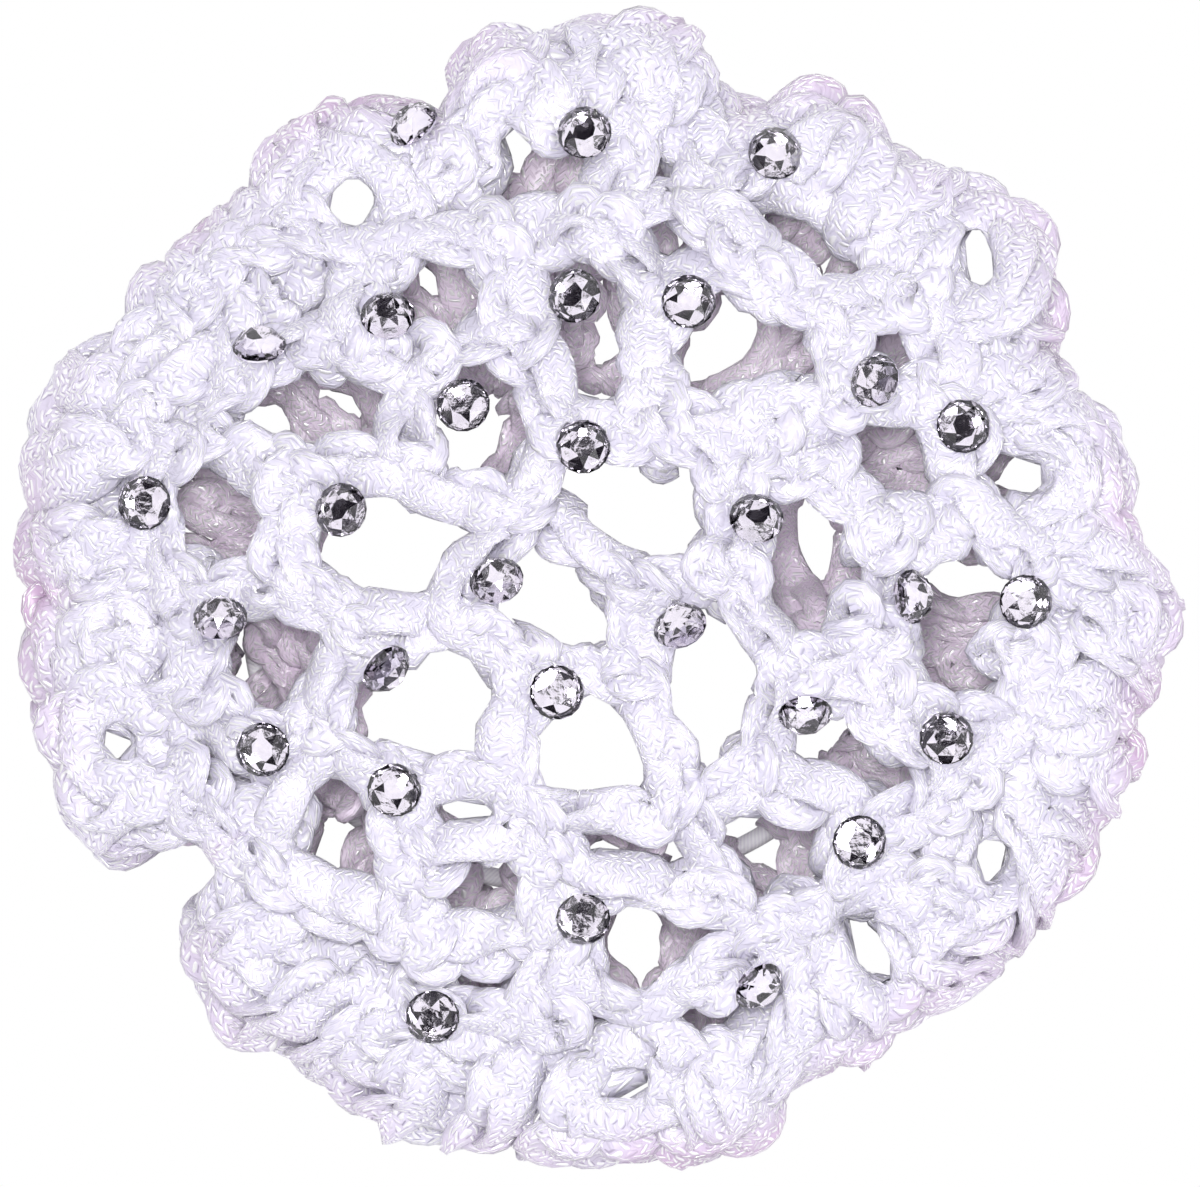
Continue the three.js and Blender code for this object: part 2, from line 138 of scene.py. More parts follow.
OUTER_CHAINS = [
    ("q29 q30 q3", 0, 0),
    ("q30 r4 q4", 1, 0),
    ("p11 q20 q19", 1, 0),
    ("q9 r9 r7 q6", 0, 0),
    ("r9 r11 r12 r13 q11", 1, 0),
    ("q5 r6 r7", 1, 0),
    ("q12 r15 q14", 0, 0),
    ("q28 r1", 0, 0),
    ("q30 r2", 0, 0),
    ("r4 r3", 1, 0),
    ("r6 r5", 0, 0),
    ("r7 r8 r10", 0, 0),
    ("r11 r10", 0, 0),
    ("r13 q12", 0, 0),
    ("r13 r14", 1, 0),
    ("r15 r16", 0, 0),
    ("q14 r17", 0, 0),
    ("q14 r18 q17", 0, 0),
    ("q17 r19", 1, 0),
    ("q19 r20 r21", 0, 0),
    ("r19 r20", 0, 0),
    ("q20 r22 r21", 0, 0),
    ("q20 r23 r24", 1, 0),
    ("q22 r24", 0, 0),
    ("q23 r25", 0, 0),
    ("q25 r26", 0, 0),
    ("q26 r27 r28 q28", 1, 0),
    ("r28 r29", 0, 0),
]

# Six meshes round the middle, through which the floor shows: corners, east and north in
# hundredths
MIDDLE_MESHES = [
    [(-44, 8.5), (-40, 15), (-34, 15.5), (-27, 6), (-30, 0.5), (-38, 2.5), (-42.5, 5)],
    [(-1.8, 13), (4.9, 17.3), (6, 20), (10, 14.2), (17, 11.5), (12.6, 7.2), (4.9, 8.7)],
    [(-17, -3), (-12.4, 0.1), (-9.2, 4.2), (-3.3, -0.3), (1.5, -4.4), (-4.9, -8.3), (-9.6, -5.1)],
    [(-39, -18), (-30, -16), (-29, -10.5), (-22.8, -10.3), (-18.2, -17.8), (-27, -25.9), (-37, -22.5)],
    [(18.7, -4), (26.4, -13.2), (22.1, -19.3), (18.9, -25.5), (13.5, -18.9), (13.5, -9.5)],
    [(-1.5, -17), (3.7, -21.2), (8, -30.7), (-1, -31.8), (-8.7, -31.3), (-8.3, -23.4)],
]
# Smaller places where the floor shows through the whole snood: east, north, length and width in
# hundredths, turn of the length in degrees
THROUGH = [
    (-13.7, 76, 5.5, 4.5, 10), (-41, 65.7, 6.5, 6.5, 20),
    (-57, 51.7, 5, 3, 80), (-28, 51.7, 3, 2, 90), (-54.8, 29, 4.2, 4.2, 0), (-42.2, 32, 3, 1.5, 90),
    (-19.8, 26, 9.5, 3.6, 68), (2.2, 41, 4.5, 2, 10), (21, 41.5, 12.5, 6, 36),
    (35.6, 9, 11, 2.4, 105), (72, 20, 6, 5.4, 0), (59.1, 3.2, 6.5, 4.2, -50), (63.7, 56.5, 9, 4.4, 95),
    (-80.2, -24.8, 5.5, 4.8, 90), (-45, -41, 4.2, 3.2, 20), (-21.3, -36.5, 8, 4, -15),
    (1.5, -43, 4.5, 2, 10), (13.9, -45.4, 3, 2, 0), (26.5, -42.2, 4.5, 4, 90),
    (49, -54, 3, 1.5, 0), (6.4, -57.6, 8.8, 7.6, 90), (65.8, -44.6, 6.5, 5, 90),
    (45, -59.6, 11.5, 4.2, -52), (4.7, -82.6, 8.5, 4.2, 25),
]
# Deep notches of the outline, where the border's lobes stay apart, in the same columns
NOTCHES = [
    (-71.6, -47.4, 13, 8, 30), (-27.9, 89, 12, 7.5, 85), (26.4, 88.6, 11, 8, -17),
    (-52, 87, 15, 14, 35), (-86, 48.3, 14, 10, 60), (66.3, -74.5, 22, 17, 40),
    (38.6, -87, 11, 10, 30), (54.5, 79.8, 15, 9.5, -35), (96, 13.6, 14, 9.5, 98),
    (85.3, 38.8, 14, 9.5, -65),
]
# Meshes of the crown where the darker band shows under them, in the same columns
MESHES = [
    (-16, 28.5, 15, 7, 105), (0, 45, 15, 7, 80), (25, 40.5, 20, 9, 15), (35, 7, 17, 9, 105),
    (45, -29, 14, 3.5, -5), (27, -45, 13, 4, 95), (1.5, -41, 7, 4, 0), (-19, -48, 10, 5, 40),
    (-46, -38, 11, 6, 50), (-53, -9.5, 16, 7, 20), (-62, 11.5, 11, 7, -15), (-48, 30.5, 17, 7, 15),
    (-27.5, 50, 11, 5, 105), (-15, 71.5, 15, 8, 25), (14, 73, 12, 3, 110), (12, 60, 6, 4, 120),
    (41, 61, 14, 6, 110), (64, 51, 15, 3.5, 92), (49, 24, 11, 7, 45), (71, 19.5, 10, 6, -20),
    (61, 0, 13, 6, -55), (81, -9, 18, 4, 85), (67, -42, 16, 6, 80), (46, -58, 12, 7, -50),
    (6.5, -59, 11, 10, 90), (5, -82.5, 9, 3, 28), (-19, -78, 11, 3.5, -45),
    (-43, -63, 14, 4, 105), (-77, -25, 11, 5, -8), (-79, -3, 8, 3.5, 55),
    (-87, 15, 11, 3, 105), (-70, 40, 9, 4, 120), (-56, 50, 9, 5, 100), (-41, 66, 9, 8, 20),
]

# Scallops of the border: turn in degrees and reach in hundredths of the half width, of the tip
# and then of the notch after it
SCALLOPS = [
    (-1, 100, 8, 91), (17, 94.5, 29, 87.5), (40, 97, 52, 90.5), (64, 97, 73, 85.5),
    (84, 99.5, 94, 95.5), (101, 98, 109, 86.5), (120, 95, 132, 89.5), (138, 92.5, 145, 91.5),
    (161, 101, 170, 98), (175.5, 100, 180, 93), (186, 99.5, 192, 94.5), (204, 99, 214, 76),
    (219, 92.5, 222, 91),
    (229, 98, 236, 93), (250, 98, 262, 95.5), (269, 98.5, 274, 95), (281, 99.5, 296, 90.5),
    (304, 92, 308, 88.5), (326, 95, 337, 94), (341, 97.5, 344, 95), (346, 95.5, 350, 93.5),
]


def srgb(text):
    """Linear colour of an sRGB hex text."""
    c = np.array([int(text[i:i + 2], 16) for i in (1, 3, 5)]) / 255
    lin = np.where(c <= 0.04045, c / 12.92, ((c + 0.055) / 1.055) ** 2.4)
    return (*lin, 1.0)


def unit(v):
    """Rows of v scaled to length 1."""
    return v / np.maximum(np.linalg.norm(v, axis=-1, keepdims=True), 1e-9)


def crown_height(x, y):
    """Height of the chains' middle line: full at the middle, falling with a power of the reach,
    with a few soft dents that deepen outwards."""
    reach = np.hypot(x, y) / NET_HALF
    dents = np.cos(HOLLOW_COUNT * (np.arctan2(y, x) - np.radians(HOLLOW_TURN)))
    fall = 1 - reach ** CROWN_CURVE
    return BRIM_LEVEL + (CROWN_LEVEL - BRIM_LEVEL) * fall + HOLLOW_DEPTH * reach * dents


def crown_up(x, y):
    """Upward unit normal of the crown from its slopes east and north."""
    step = 0.5
    east = crown_height(x + step, y) - crown_height(x - step, y)
    north = crown_height(x, y + step) - crown_height(x, y - step)
    return unit(np.stack([-east, -north, np.full_like(east, 2 * step)], -1))


def border_reach(angle):
    """Reach of the outline at each turn: a lobe between two notches rises as the power 0.7 of a
    quarter sine up to its tip, and falls the same way."""
    turn = np.degrees(angle) % 360
    rows = np.array(SCALLOPS, float)
    tips, tip_reach, notches, notch_reach = rows.T
    before = np.roll(notches, 1)
    before[0] -= 360
    before_reach = np.roll(notch_reach, 1)
    at = np.where(turn[..., None] >= before + 360, turn[..., None] - 360, turn[..., None])
    inside = (at >= before) & (at < notches)
    k = inside.argmax(-1)
    a = np.take_along_axis(at, k[..., None], -1)[..., 0]
    rising = a < tips[k]
    low = np.where(rising, before_reach[k], notch_reach[k])
    part = np.where(rising, (a - before[k]) / (tips - before)[k],
                    (notches[k] - a) / (notches - tips)[k])
    rise = np.sin(np.clip(part, 0, 1) * np.pi / 2) ** 0.7
    return (low + (tip_reach[k] - low) * rise) * SHARE


def elastic_reach(angle):
    """Reach of the elastic's middle line from the net's middle: the ellipse of the mouth, which
    has its own middle, met by repeated correction."""
    reach = np.full_like(angle, MOUTH_WIDTH / 2)
    for _ in range(12):
        x = reach * np.cos(angle) - MOUTH_EAST
        y = reach * np.sin(angle) - MOUTH_NORTH
        reach = reach + (1 - np.hypot(x / (MOUTH_LENGTH / 2), y / (MOUTH_WIDTH / 2))) * MOUTH_WIDTH / 2
    return reach


def smooth_noise(t, seed, scale, waves=5):
    """Smooth wandering value, a sum of sines of seeded wavelengths about `scale` and phases."""
    rng = np.random.default_rng(seed)
    freq = rng.uniform(0.6, 1.7, waves) / scale
    phase = rng.uniform(0, TAU, waves)
    return np.sin(TAU * t[..., None] * freq + phase).sum(-1) / np.sqrt(waves / 2)


def blend(u, start, end, a, b):
    """Value that goes evenly from a where u is `start` to b where u is `end`."""
    return (end - u) / (end - start) * a + (u - start) / (end - start) * b


def curve_through(points, closed=False, step=0.4, per_span=24):
    """Centripetal Catmull-Rom curve through the points, sampled evenly by length: each span is
    blended three times over between its neighbours, whose knots are the roots of the gaps."""
    p = np.asarray(points, float)
    if closed:
        p = np.concatenate([p[-1:], p, p[:2]])
    else:
        p = np.concatenate([2 * p[:1] - p[1:2], p, 2 * p[-1:] - p[-2:-1]])
    gaps = np.linalg.norm(np.diff(p, axis=0), axis=1) ** 0.5 + 1e-6
    t = np.concatenate([[0], np.cumsum(gaps)])
    parts = []
    for i in range(1, len(p) - 2):
        u = np.linspace(t[i], t[i + 1], per_span, endpoint=False)[:, None]
        a1 = blend(u, t[i - 1], t[i], p[i - 1], p[i])
        a2 = blend(u, t[i], t[i + 1], p[i], p[i + 1])
        a3 = blend(u, t[i + 1], t[i + 2], p[i + 1], p[i + 2])
        b1 = blend(u, t[i - 1], t[i + 1], a1, a2)
        b2 = blend(u, t[i], t[i + 2], a2, a3)
        parts.append(blend(u, t[i], t[i + 1], b1, b2))
    line = np.concatenate([*parts, p[-2:-1]])
    along = np.concatenate([[0], np.cumsum(np.linalg.norm(np.diff(line, axis=0), axis=1))])
    even = np.linspace(0, along[-1], max(4, int(along[-1] / step)))
    return np.stack([np.interp(even, along, line[:, k]) for k in range(line.shape[1])], -1)


class Opening:
    """An opening as its middle and the distance of its edge at each whole degree: an ellipse, or
    the outline through a list of corners, its corners rounded by a running mean."""

    def __init__(self, row=None, corners=None):
        turn = np.radians(np.arange(360))
        way = np.stack([np.cos(turn), np.sin(turn)], -1)
        if row is not None:
            east, north, length, width, lean = row
            self.middle = np.array([east, north]) * SHARE
            a = turn - np.radians(lean)
            rng = np.random.default_rng(int(abs(east * 10) + abs(north * 7)))
            uneven = sum(rng.uniform(-0.11, 0.11) * np.cos(k * turn + rng.uniform(0, TAU))
                         for k in (2, 3, 4, 5))
            self.edge = SHARE / np.hypot(np.cos(a) / (length / 2), np.sin(a) / (width / 2)) * (1 + uneven)
        else:
            c = np.array(corners) * SHARE
            self.middle = c.mean(0)
            p = c - self.middle
            d = np.roll(p, -1, 0) - p
            cross = way[:, None, 0] * d[None, :, 1] - way[:, None, 1] * d[None, :, 0]
            cross = np.where(np.abs(cross) < 1e-9, 1e-9, cross)
            far = (p[:, 0] * d[:, 1] - p[:, 1] * d[:, 0])[None] / cross
            part = (p[None, :, 0] * way[:, None, 1] - p[None, :, 1] * way[:, None, 0]) / cross
            hit = (far > 0) & (part >= -1e-6) & (part <= 1 + 1e-6)
            self.edge = np.where(hit, far, 0).max(1)
            weights = np.hanning(23)
            self.edge = np.convolve(np.tile(self.edge, 3), weights / weights.sum(), "same")[360:720]

    def part(self, xy, margin, reach):
        """Points inside, or up to `reach` outside, the edge grown by `margin`, pushed out."""
        q = xy - self.middle
        r = np.maximum(np.hypot(q[:, 0], q[:, 1]), 1e-4)
        turn = np.degrees(np.arctan2(q[:, 1], q[:, 0])) % 360
        edge = np.interp(turn, np.arange(361), np.append(self.edge, self.edge[0])) + margin
        edge = np.maximum(edge, 0.15)
        soft = edge + reach
        new = np.where(r < soft, edge + r * reach / soft, r)
        return self.middle + q * (new / r)[:, None]

    def bend(self, xy, margin):
        """Path led past the opening on one side: each run of points inside the edge grown by
        `margin` is lifted, across its own chord, on to that edge's nearer side."""
        q = xy - self.middle
        r = np.hypot(q[:, 0], q[:, 1])
        turn = np.degrees(np.arctan2(q[:, 1], q[:, 0])) % 360
        edge = np.append(self.edge, self.edge[0]) + margin
        inside = r < np.interp(turn, np.arange(361), edge)
        if not inside.any():
            return xy
        marks = np.flatnonzero(np.diff(np.concatenate([[0], inside.astype(int), [0]])))
        round_it = np.radians(np.arange(361))
        ring = np.stack([np.cos(round_it), np.sin(round_it)], -1) * edge[:, None]
        out = xy.copy()
        for a, b in zip(marks[::2], marks[1::2]):
            run = q[a:b]
            chord = unit(q[min(b, len(q) - 1)] - q[max(a - 1, 0)])
            across = np.array([-chord[1], chord[0]])
            if (run @ across).mean() < 0:
                across = -across
            side = ring[ring @ across >= 0]
            order = np.argsort(side @ chord)
            lift = np.interp(run @ chord, (side @ chord)[order], (side @ across)[order])
            need = np.maximum(run @ across, lift) - run @ across
            out[a:b] = xy[a:b] + need[:, None] * across
        return out


def draw_in(path, openings, margin, reach=2.6, share=0.8):
    """Path that passes an opening at a little more than `margin` drawn towards it, so that the
    ribbon bounds it: what is over the margin shrinks, less and less out to `reach`."""
    xy = path.copy()
    for opening in openings:
        q = xy - opening.middle
        r = np.maximum(np.hypot(q[:, 0], q[:, 1]), 1e-4)
        turn = np.degrees(np.arctan2(q[:, 1], q[:, 0])) % 360
        over = r - np.interp(turn, np.arange(361), np.append(opening.edge, opening.edge[0])) - margin
        pull = np.where((over > 0) & (over < reach), share * over * (1 - over / reach), 0)
        xy = xy - q * (pull / r)[:, None]
    return soften(xy, 5)


def part_round(xy, openings, margin, reach):
    """Points pushed out of each opening in turn."""
    for opening in openings:
        xy = opening.part(xy, margin, reach)
    return xy


def lead_past(path, openings, margin, half=5):
    """Path, in the plan or in space, led past each opening and softened, twice over."""
    path = path.copy()
    for _ in range(2):
        for opening in openings:
            path[:, :2] = opening.bend(path[:, :2], margin)
        path[:, :2] = soften(path[:, :2], half)
    return path


def soften(line, half=3):
    """Line with each point averaged with its neighbours by a bell of weights, ends kept."""
    weights = np.hanning(2 * half + 3)[1:-1]
    weights /= weights.sum()
    padded = np.concatenate([np.repeat(line[:1], half, 0), line, np.repeat(line[-1:], half, 0)])
    return np.stack([np.convolve(padded[:, k], weights, "valid") for k in range(line.shape[1])], -1)


def seat_frames():
    """Middle of the flat back, upward axis and two cross axes of each stone, from its CAD node."""
    found = []
    for number in range(1, STONE_COUNT + 1):
        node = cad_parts["rhinestone_%02d" % number]
        co = np.zeros(len(node.data.vertices) * 3)
        node.data.vertices.foreach_get("co", co)
        co = np.unique(np.round(co.reshape(-1, 3) / MM, 4), axis=0)
        axis = np.linalg.svd(co - co.mean(0))[2][2]
        axis = axis if axis[2] > 0 else -axis
        height = co @ axis
        back = co[height < height.min() + 0.2].mean(0)
        across = unit(np.cross(axis, [0.13, 1, 0.02]))
        found.append((back, axis, across, np.cross(axis, across)))
    return found


def under_stones(points):
    """Ribbon pressed down under each stone: what stands over the flat back near the stone's axis
    is flattened on to it, and round the girdle it may rise again."""
    radius = STONE_DIAMETER / 2
    sink = 0.08                  # the ribbon lies this far under the flat back
    room = 0.1                   # how far it stays flat past the girdle, before it rises by `slope`
    slope = 2.2
    beside, above = 1.2, 4       # how far beside the stone and over its back ribbon is pressed
    for back, axis, _, _ in SEATS:
        q = points - (back - SHIFT)
        h = q @ axis
        r = np.linalg.norm(q - h[..., None] * axis, axis=-1)
        limit = -sink + np.maximum(r - radius - room, 0) * slope
        over = (h > limit) & (r < radius + beside) & (h < above)
        points = points - np.where(over, h - limit, 0)[..., None] * axis
    return points


SEATS = seat_frames()
FLOOR_OPEN = [Opening(corners=c) for c in MIDDLE_MESHES] + [Opening(row) for row in THROUGH]
ALL_OPEN = FLOOR_OPEN + [Opening(row) for row in MESHES]
# Notches, and openings wide enough for the border's rows to be led past them
LOBES_APART = [Opening(row) for row in NOTCHES]
RIM_OPEN = [o for o in FLOOR_OPEN if o.edge.min() > WIDE_OPENING] + LOBES_APART


class Cloth:
    """Ribbon lengths gathered into one mesh: closed bands of rings, with a UV that counts
    millimetres along and round the ribbon, and how near each point is to the border's rim."""

    def __init__(self):
        self.points, self.quads, self.caps, self.uvs, self.tags, self.count = [], [], [], [], [], 0

    def add(self, rings, along, around, holes=(), closed=False):
        """Adds one length of ribbon from its rings. `along` and `around` are the distances that
        its UV counts. Where there are holes, what stands over them and over the stones' seats is
        moved off. An open length gets a cap at each end, a closed one joins its last ring to its
        first."""
        n, sides = rings.shape[:2]
        if len(holes):
            flat = rings.reshape(-1, 3).copy()
            flat[:, :2] = part_round(flat[:, :2], FLOOR_OPEN, -OVERHANG, FLOOR_FADE)
            shift = part_round(flat[:, :2], LOBES_APART, -OVERHANG, NOTCH_FADE) - flat[:, :2]
            flat[:, :2] += soften(shift.reshape(n, sides * 2), 5).reshape(-1, 2)
            rings = under_stones(flat).reshape(n, sides, 3)
        rings = np.concatenate([rings[..., :2], np.maximum(rings[..., 2:], TABLE_GAP)], -1)
        base = self.count
        spans = n if closed else n - 1
        i = np.arange(spans)[:, None]
        j = (i + 1) % n
        k = np.arange(sides)[None, :]
        nxt = (k + 1) % sides
        quads = np.stack([i * sides + k, i * sides + nxt, j * sides + nxt, j * sides + k], -1)
        self.quads.append(base + quads.reshape(-1, 4))
        up = np.concatenate([around, [2 * around[-1] - around[-2]]])
        u0, u1 = along[:-1, None], along[1:, None]
        v0, v1 = up[None, :-1], up[None, 1:]
        ones = np.ones((spans, sides))
        uv = np.stack([
            np.stack([u0 * ones, v0 * ones], -1), np.stack([u0 * ones, v1 * ones], -1),
            np.stack([u1 * ones, v1 * ones], -1), np.stack([u1 * ones, v0 * ones], -1)], 2)
        self.uvs.append(uv.reshape(-1, 2))
        if not closed:
            self.caps.append(base + np.arange(sides)[::-1])
            self.caps.append(base + (n - 1) * sides + np.arange(sides))
        self.points.append(rings.reshape(-1, 3))
        flat = rings.reshape(-1, 3)
        reach = np.hypot(flat[:, 0], flat[:, 1]) / border_reach(np.arctan2(flat[:, 1], flat[:, 0]))
        self.tags.append(np.clip((reach - RIM_START) / RIM_SPAN, 0, 1))
        self.count += n * sides

    def build(self, name, material, slot, nodes):
        """Makes the piece in metres from all the lengths, and names the nodes that it replaces."""
        points = (np.concatenate(self.points) + SHIFT) * MM
        quads = np.concatenate(self.quads)
        sides = len(self.caps[0]) if self.caps else 1
        caps = np.array(self.caps, int).reshape(-1, sides)
        loops = np.concatenate([quads.ravel(), caps.ravel()])
        starts = np.concatenate([np.arange(len(quads)) * 4,
                                 len(quads) * 4 + np.arange(len(caps)) * sides])
        mesh = bpy.data.meshes.new(name)
        mesh.vertices.add(len(points))
        mesh.vertices.foreach_set("co", points.astype(np.float32).ravel())
        mesh.loops.add(len(loops))
        mesh.loops.foreach_set("vertex_index", loops.astype(np.int32))
        mesh.polygons.add(len(starts))
        mesh.polygons.foreach_set("loop_start", starts.astype(np.int32))
        mesh.update(calc_edges=True)
        uv = np.concatenate([np.concatenate(self.uvs), np.zeros((caps.size, 2))])
        layer = mesh.uv_layers.new(name="ribbon")
        layer.data.foreach_set("uv", uv.astype(np.float32).ravel())
        tag = mesh.attributes.new("rim", "FLOAT", "POINT")
        tag.data.foreach_set("value", np.concatenate(self.tags).astype(np.float32))
        mesh.polygons.foreach_set("use_smooth", np.ones(len(starts), bool))
        mesh.materials.append(material)
        mesh.validate()
        piece = bpy.data.objects.new(name, mesh)
        bpy.context.scene.collection.objects.link(piece)
        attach(piece, "root")
        if nodes:
            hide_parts(*nodes)


def ribbon_rings(line, up, half_width, half_thick, roll, seed, sides=10):
    """Flat tube swept along a line: each ring is a flattened round with soft edges, its width
    across the line in the surface whose normal is `up`, turned round the line by `roll`. Seeded
    unevenness, softened along the line, swells it by up to about 0.2 mm."""
    run = unit(np.gradient(line, axis=0))
    side = unit(np.cross(up, run))
    face = np.cross(run, side)
    c, s = np.cos(roll)[:, None], np.sin(roll)[:, None]
    wide = side * c + face * s
    thin = face * c - side * s
    theta = np.arange(sides) / sides * TAU
    across = np.sign(np.cos(theta)) * np.abs(np.cos(theta)) ** 0.8
    through = np.sign(np.sin(theta)) * np.abs(np.sin(theta)) ** 0.8
    swell = np.random.default_rng(seed).uniform(-1, 1, (len(line) + 1, sides))
    swell = (swell[1:] + swell[:-1]) / 2
    rings = (line[:, None, :]
             + wide[:, None, :] * (half_width[:, None] * across * (1 + 0.09 * swell))[..., None]
             + thin[:, None, :] * (half_thick[:, None] * through * (1 + 0.3 * swell))[..., None])
    around = theta / TAU * 2 * (RIBBON_WIDTH + RIBBON_THICK) * GIRTH_SHARE
    return rings, around


def crochet_chain(cloth, path, normal, tag, stitch=STITCH, half=1.45, lift=0.6, reach=0.62,
                  width=RIBBON_WIDTH, thick=RIBBON_THICK, per_stitch=22, holes=(), margin=1.0):
    """One crocheted chain along a path. In each stitch the ribbon comes up from the back, runs
    forward on one side, turns, and runs back on the other side, under the next stitch: along is
    the stitch's share minus a cosine, across is a sine, and height is minus the cosine of twice
    the phase. Seeded wandering changes width, spread and height from stitch to stitch. `half` is
    the spread to each side, `lift` the rise, and `reach` the way back as a share of a stitch."""
    steps = np.linalg.norm(np.diff(path, axis=0), axis=1)
    along = np.concatenate([[0], np.cumsum(steps)])
    total = along[-1]
    count = max(1, int(round(total / stitch)))
    pitch = total / count
    phase = np.linspace(0, TAU * count, count * per_stitch + 1)
    t = phase / TAU

    def wob(k, scale):
        return smooth_noise(t, tag * 17 + k, scale)

    forward = pitch * t - reach * pitch * (1 + 0.12 * wob(1, 2.1)) * np.cos(phase)
    at = np.clip(forward, 0.0, total)
    base = np.stack([np.interp(at, along, path[:, k]) for k in range(3)], -1)
    up = unit(np.stack([np.interp(at, along, normal[:, k]) for k in range(3)], -1))
    ahead = np.clip(at + 0.5, 0, total)
    behind = np.clip(at - 0.5, 0, total)
    run = unit(np.stack([np.interp(ahead, along, path[:, k]) - np.interp(behind, along, path[:, k])
                         for k in range(3)], -1))
    side = unit(np.cross(up, run))
    spread = half * (1 + 0.22 * wob(2, 1.7))
    rise = -lift * np.cos(2 * phase) * (1 + 0.35 * wob(3, 1.3)) + 0.25 * wob(4, 2.3)
    line = base + side * (spread * np.sin(phase) + 0.3 * wob(5, 2.9))[:, None] + up * rise[:, None]
    if len(holes):
        line[:, :2] = part_round(line[:, :2], holes, margin, LINE_FADE)
        line = soften(line)
    line[:, 2] = np.maximum(line[:, 2], thick / 2 - TABLE_GAP)
    roll = -0.5 * np.sin(phase) + 0.3 * wob(6, 0.9)
    half_width = width / 2 * (0.8 + 0.2 * np.abs(np.sin(phase))) * (1 + 0.1 * wob(7, 0.8))
    half_thick = thick / 2 * (1 + 0.18 * wob(8, 0.7))
    rings, around = ribbon_rings(line, up, half_width, half_thick, roll, tag)
    length = np.concatenate([[0], np.cumsum(np.linalg.norm(np.diff(line, axis=0), axis=1))])
    cloth.add(rings, length, around, holes)


def on_crown(xy, lift):
    """Path and normals of a chain laid on the crown."""
    up = crown_up(xy[:, 0], xy[:, 1])
    path = np.concatenate([xy, (crown_height(xy[:, 0], xy[:, 1]) + lift)[:, None]], 1)
    return path, up


def add_node(tree, kind, values=(), **settings):
    """Adds a shader node, sets its properties and its inputs, which may be values or sockets."""
    node = tree.nodes.new(kind)
    for key, value in settings.items():
        setattr(node, key, value)
    for key, value in dict(values).items():
        if isinstance(value, bpy.types.NodeSocket):
            tree.links.new(value, node.inputs[key])
        else:
            node.inputs[key].default_value = value
    return node


def new_material(name):
    """An empty material and its node tree."""
    material = bpy.data.materials.new(name)
    material.use_nodes = True
    tree = material.node_tree
    tree.nodes.clear()
    return material, tree


def maths(tree, op, a, b=0.0, c=0.0):
    """Result of a maths node on up to three values or sockets."""
    return add_node(tree, "ShaderNodeMath", {0: a, 1: b, 2: c}, operation=op).outputs[0]


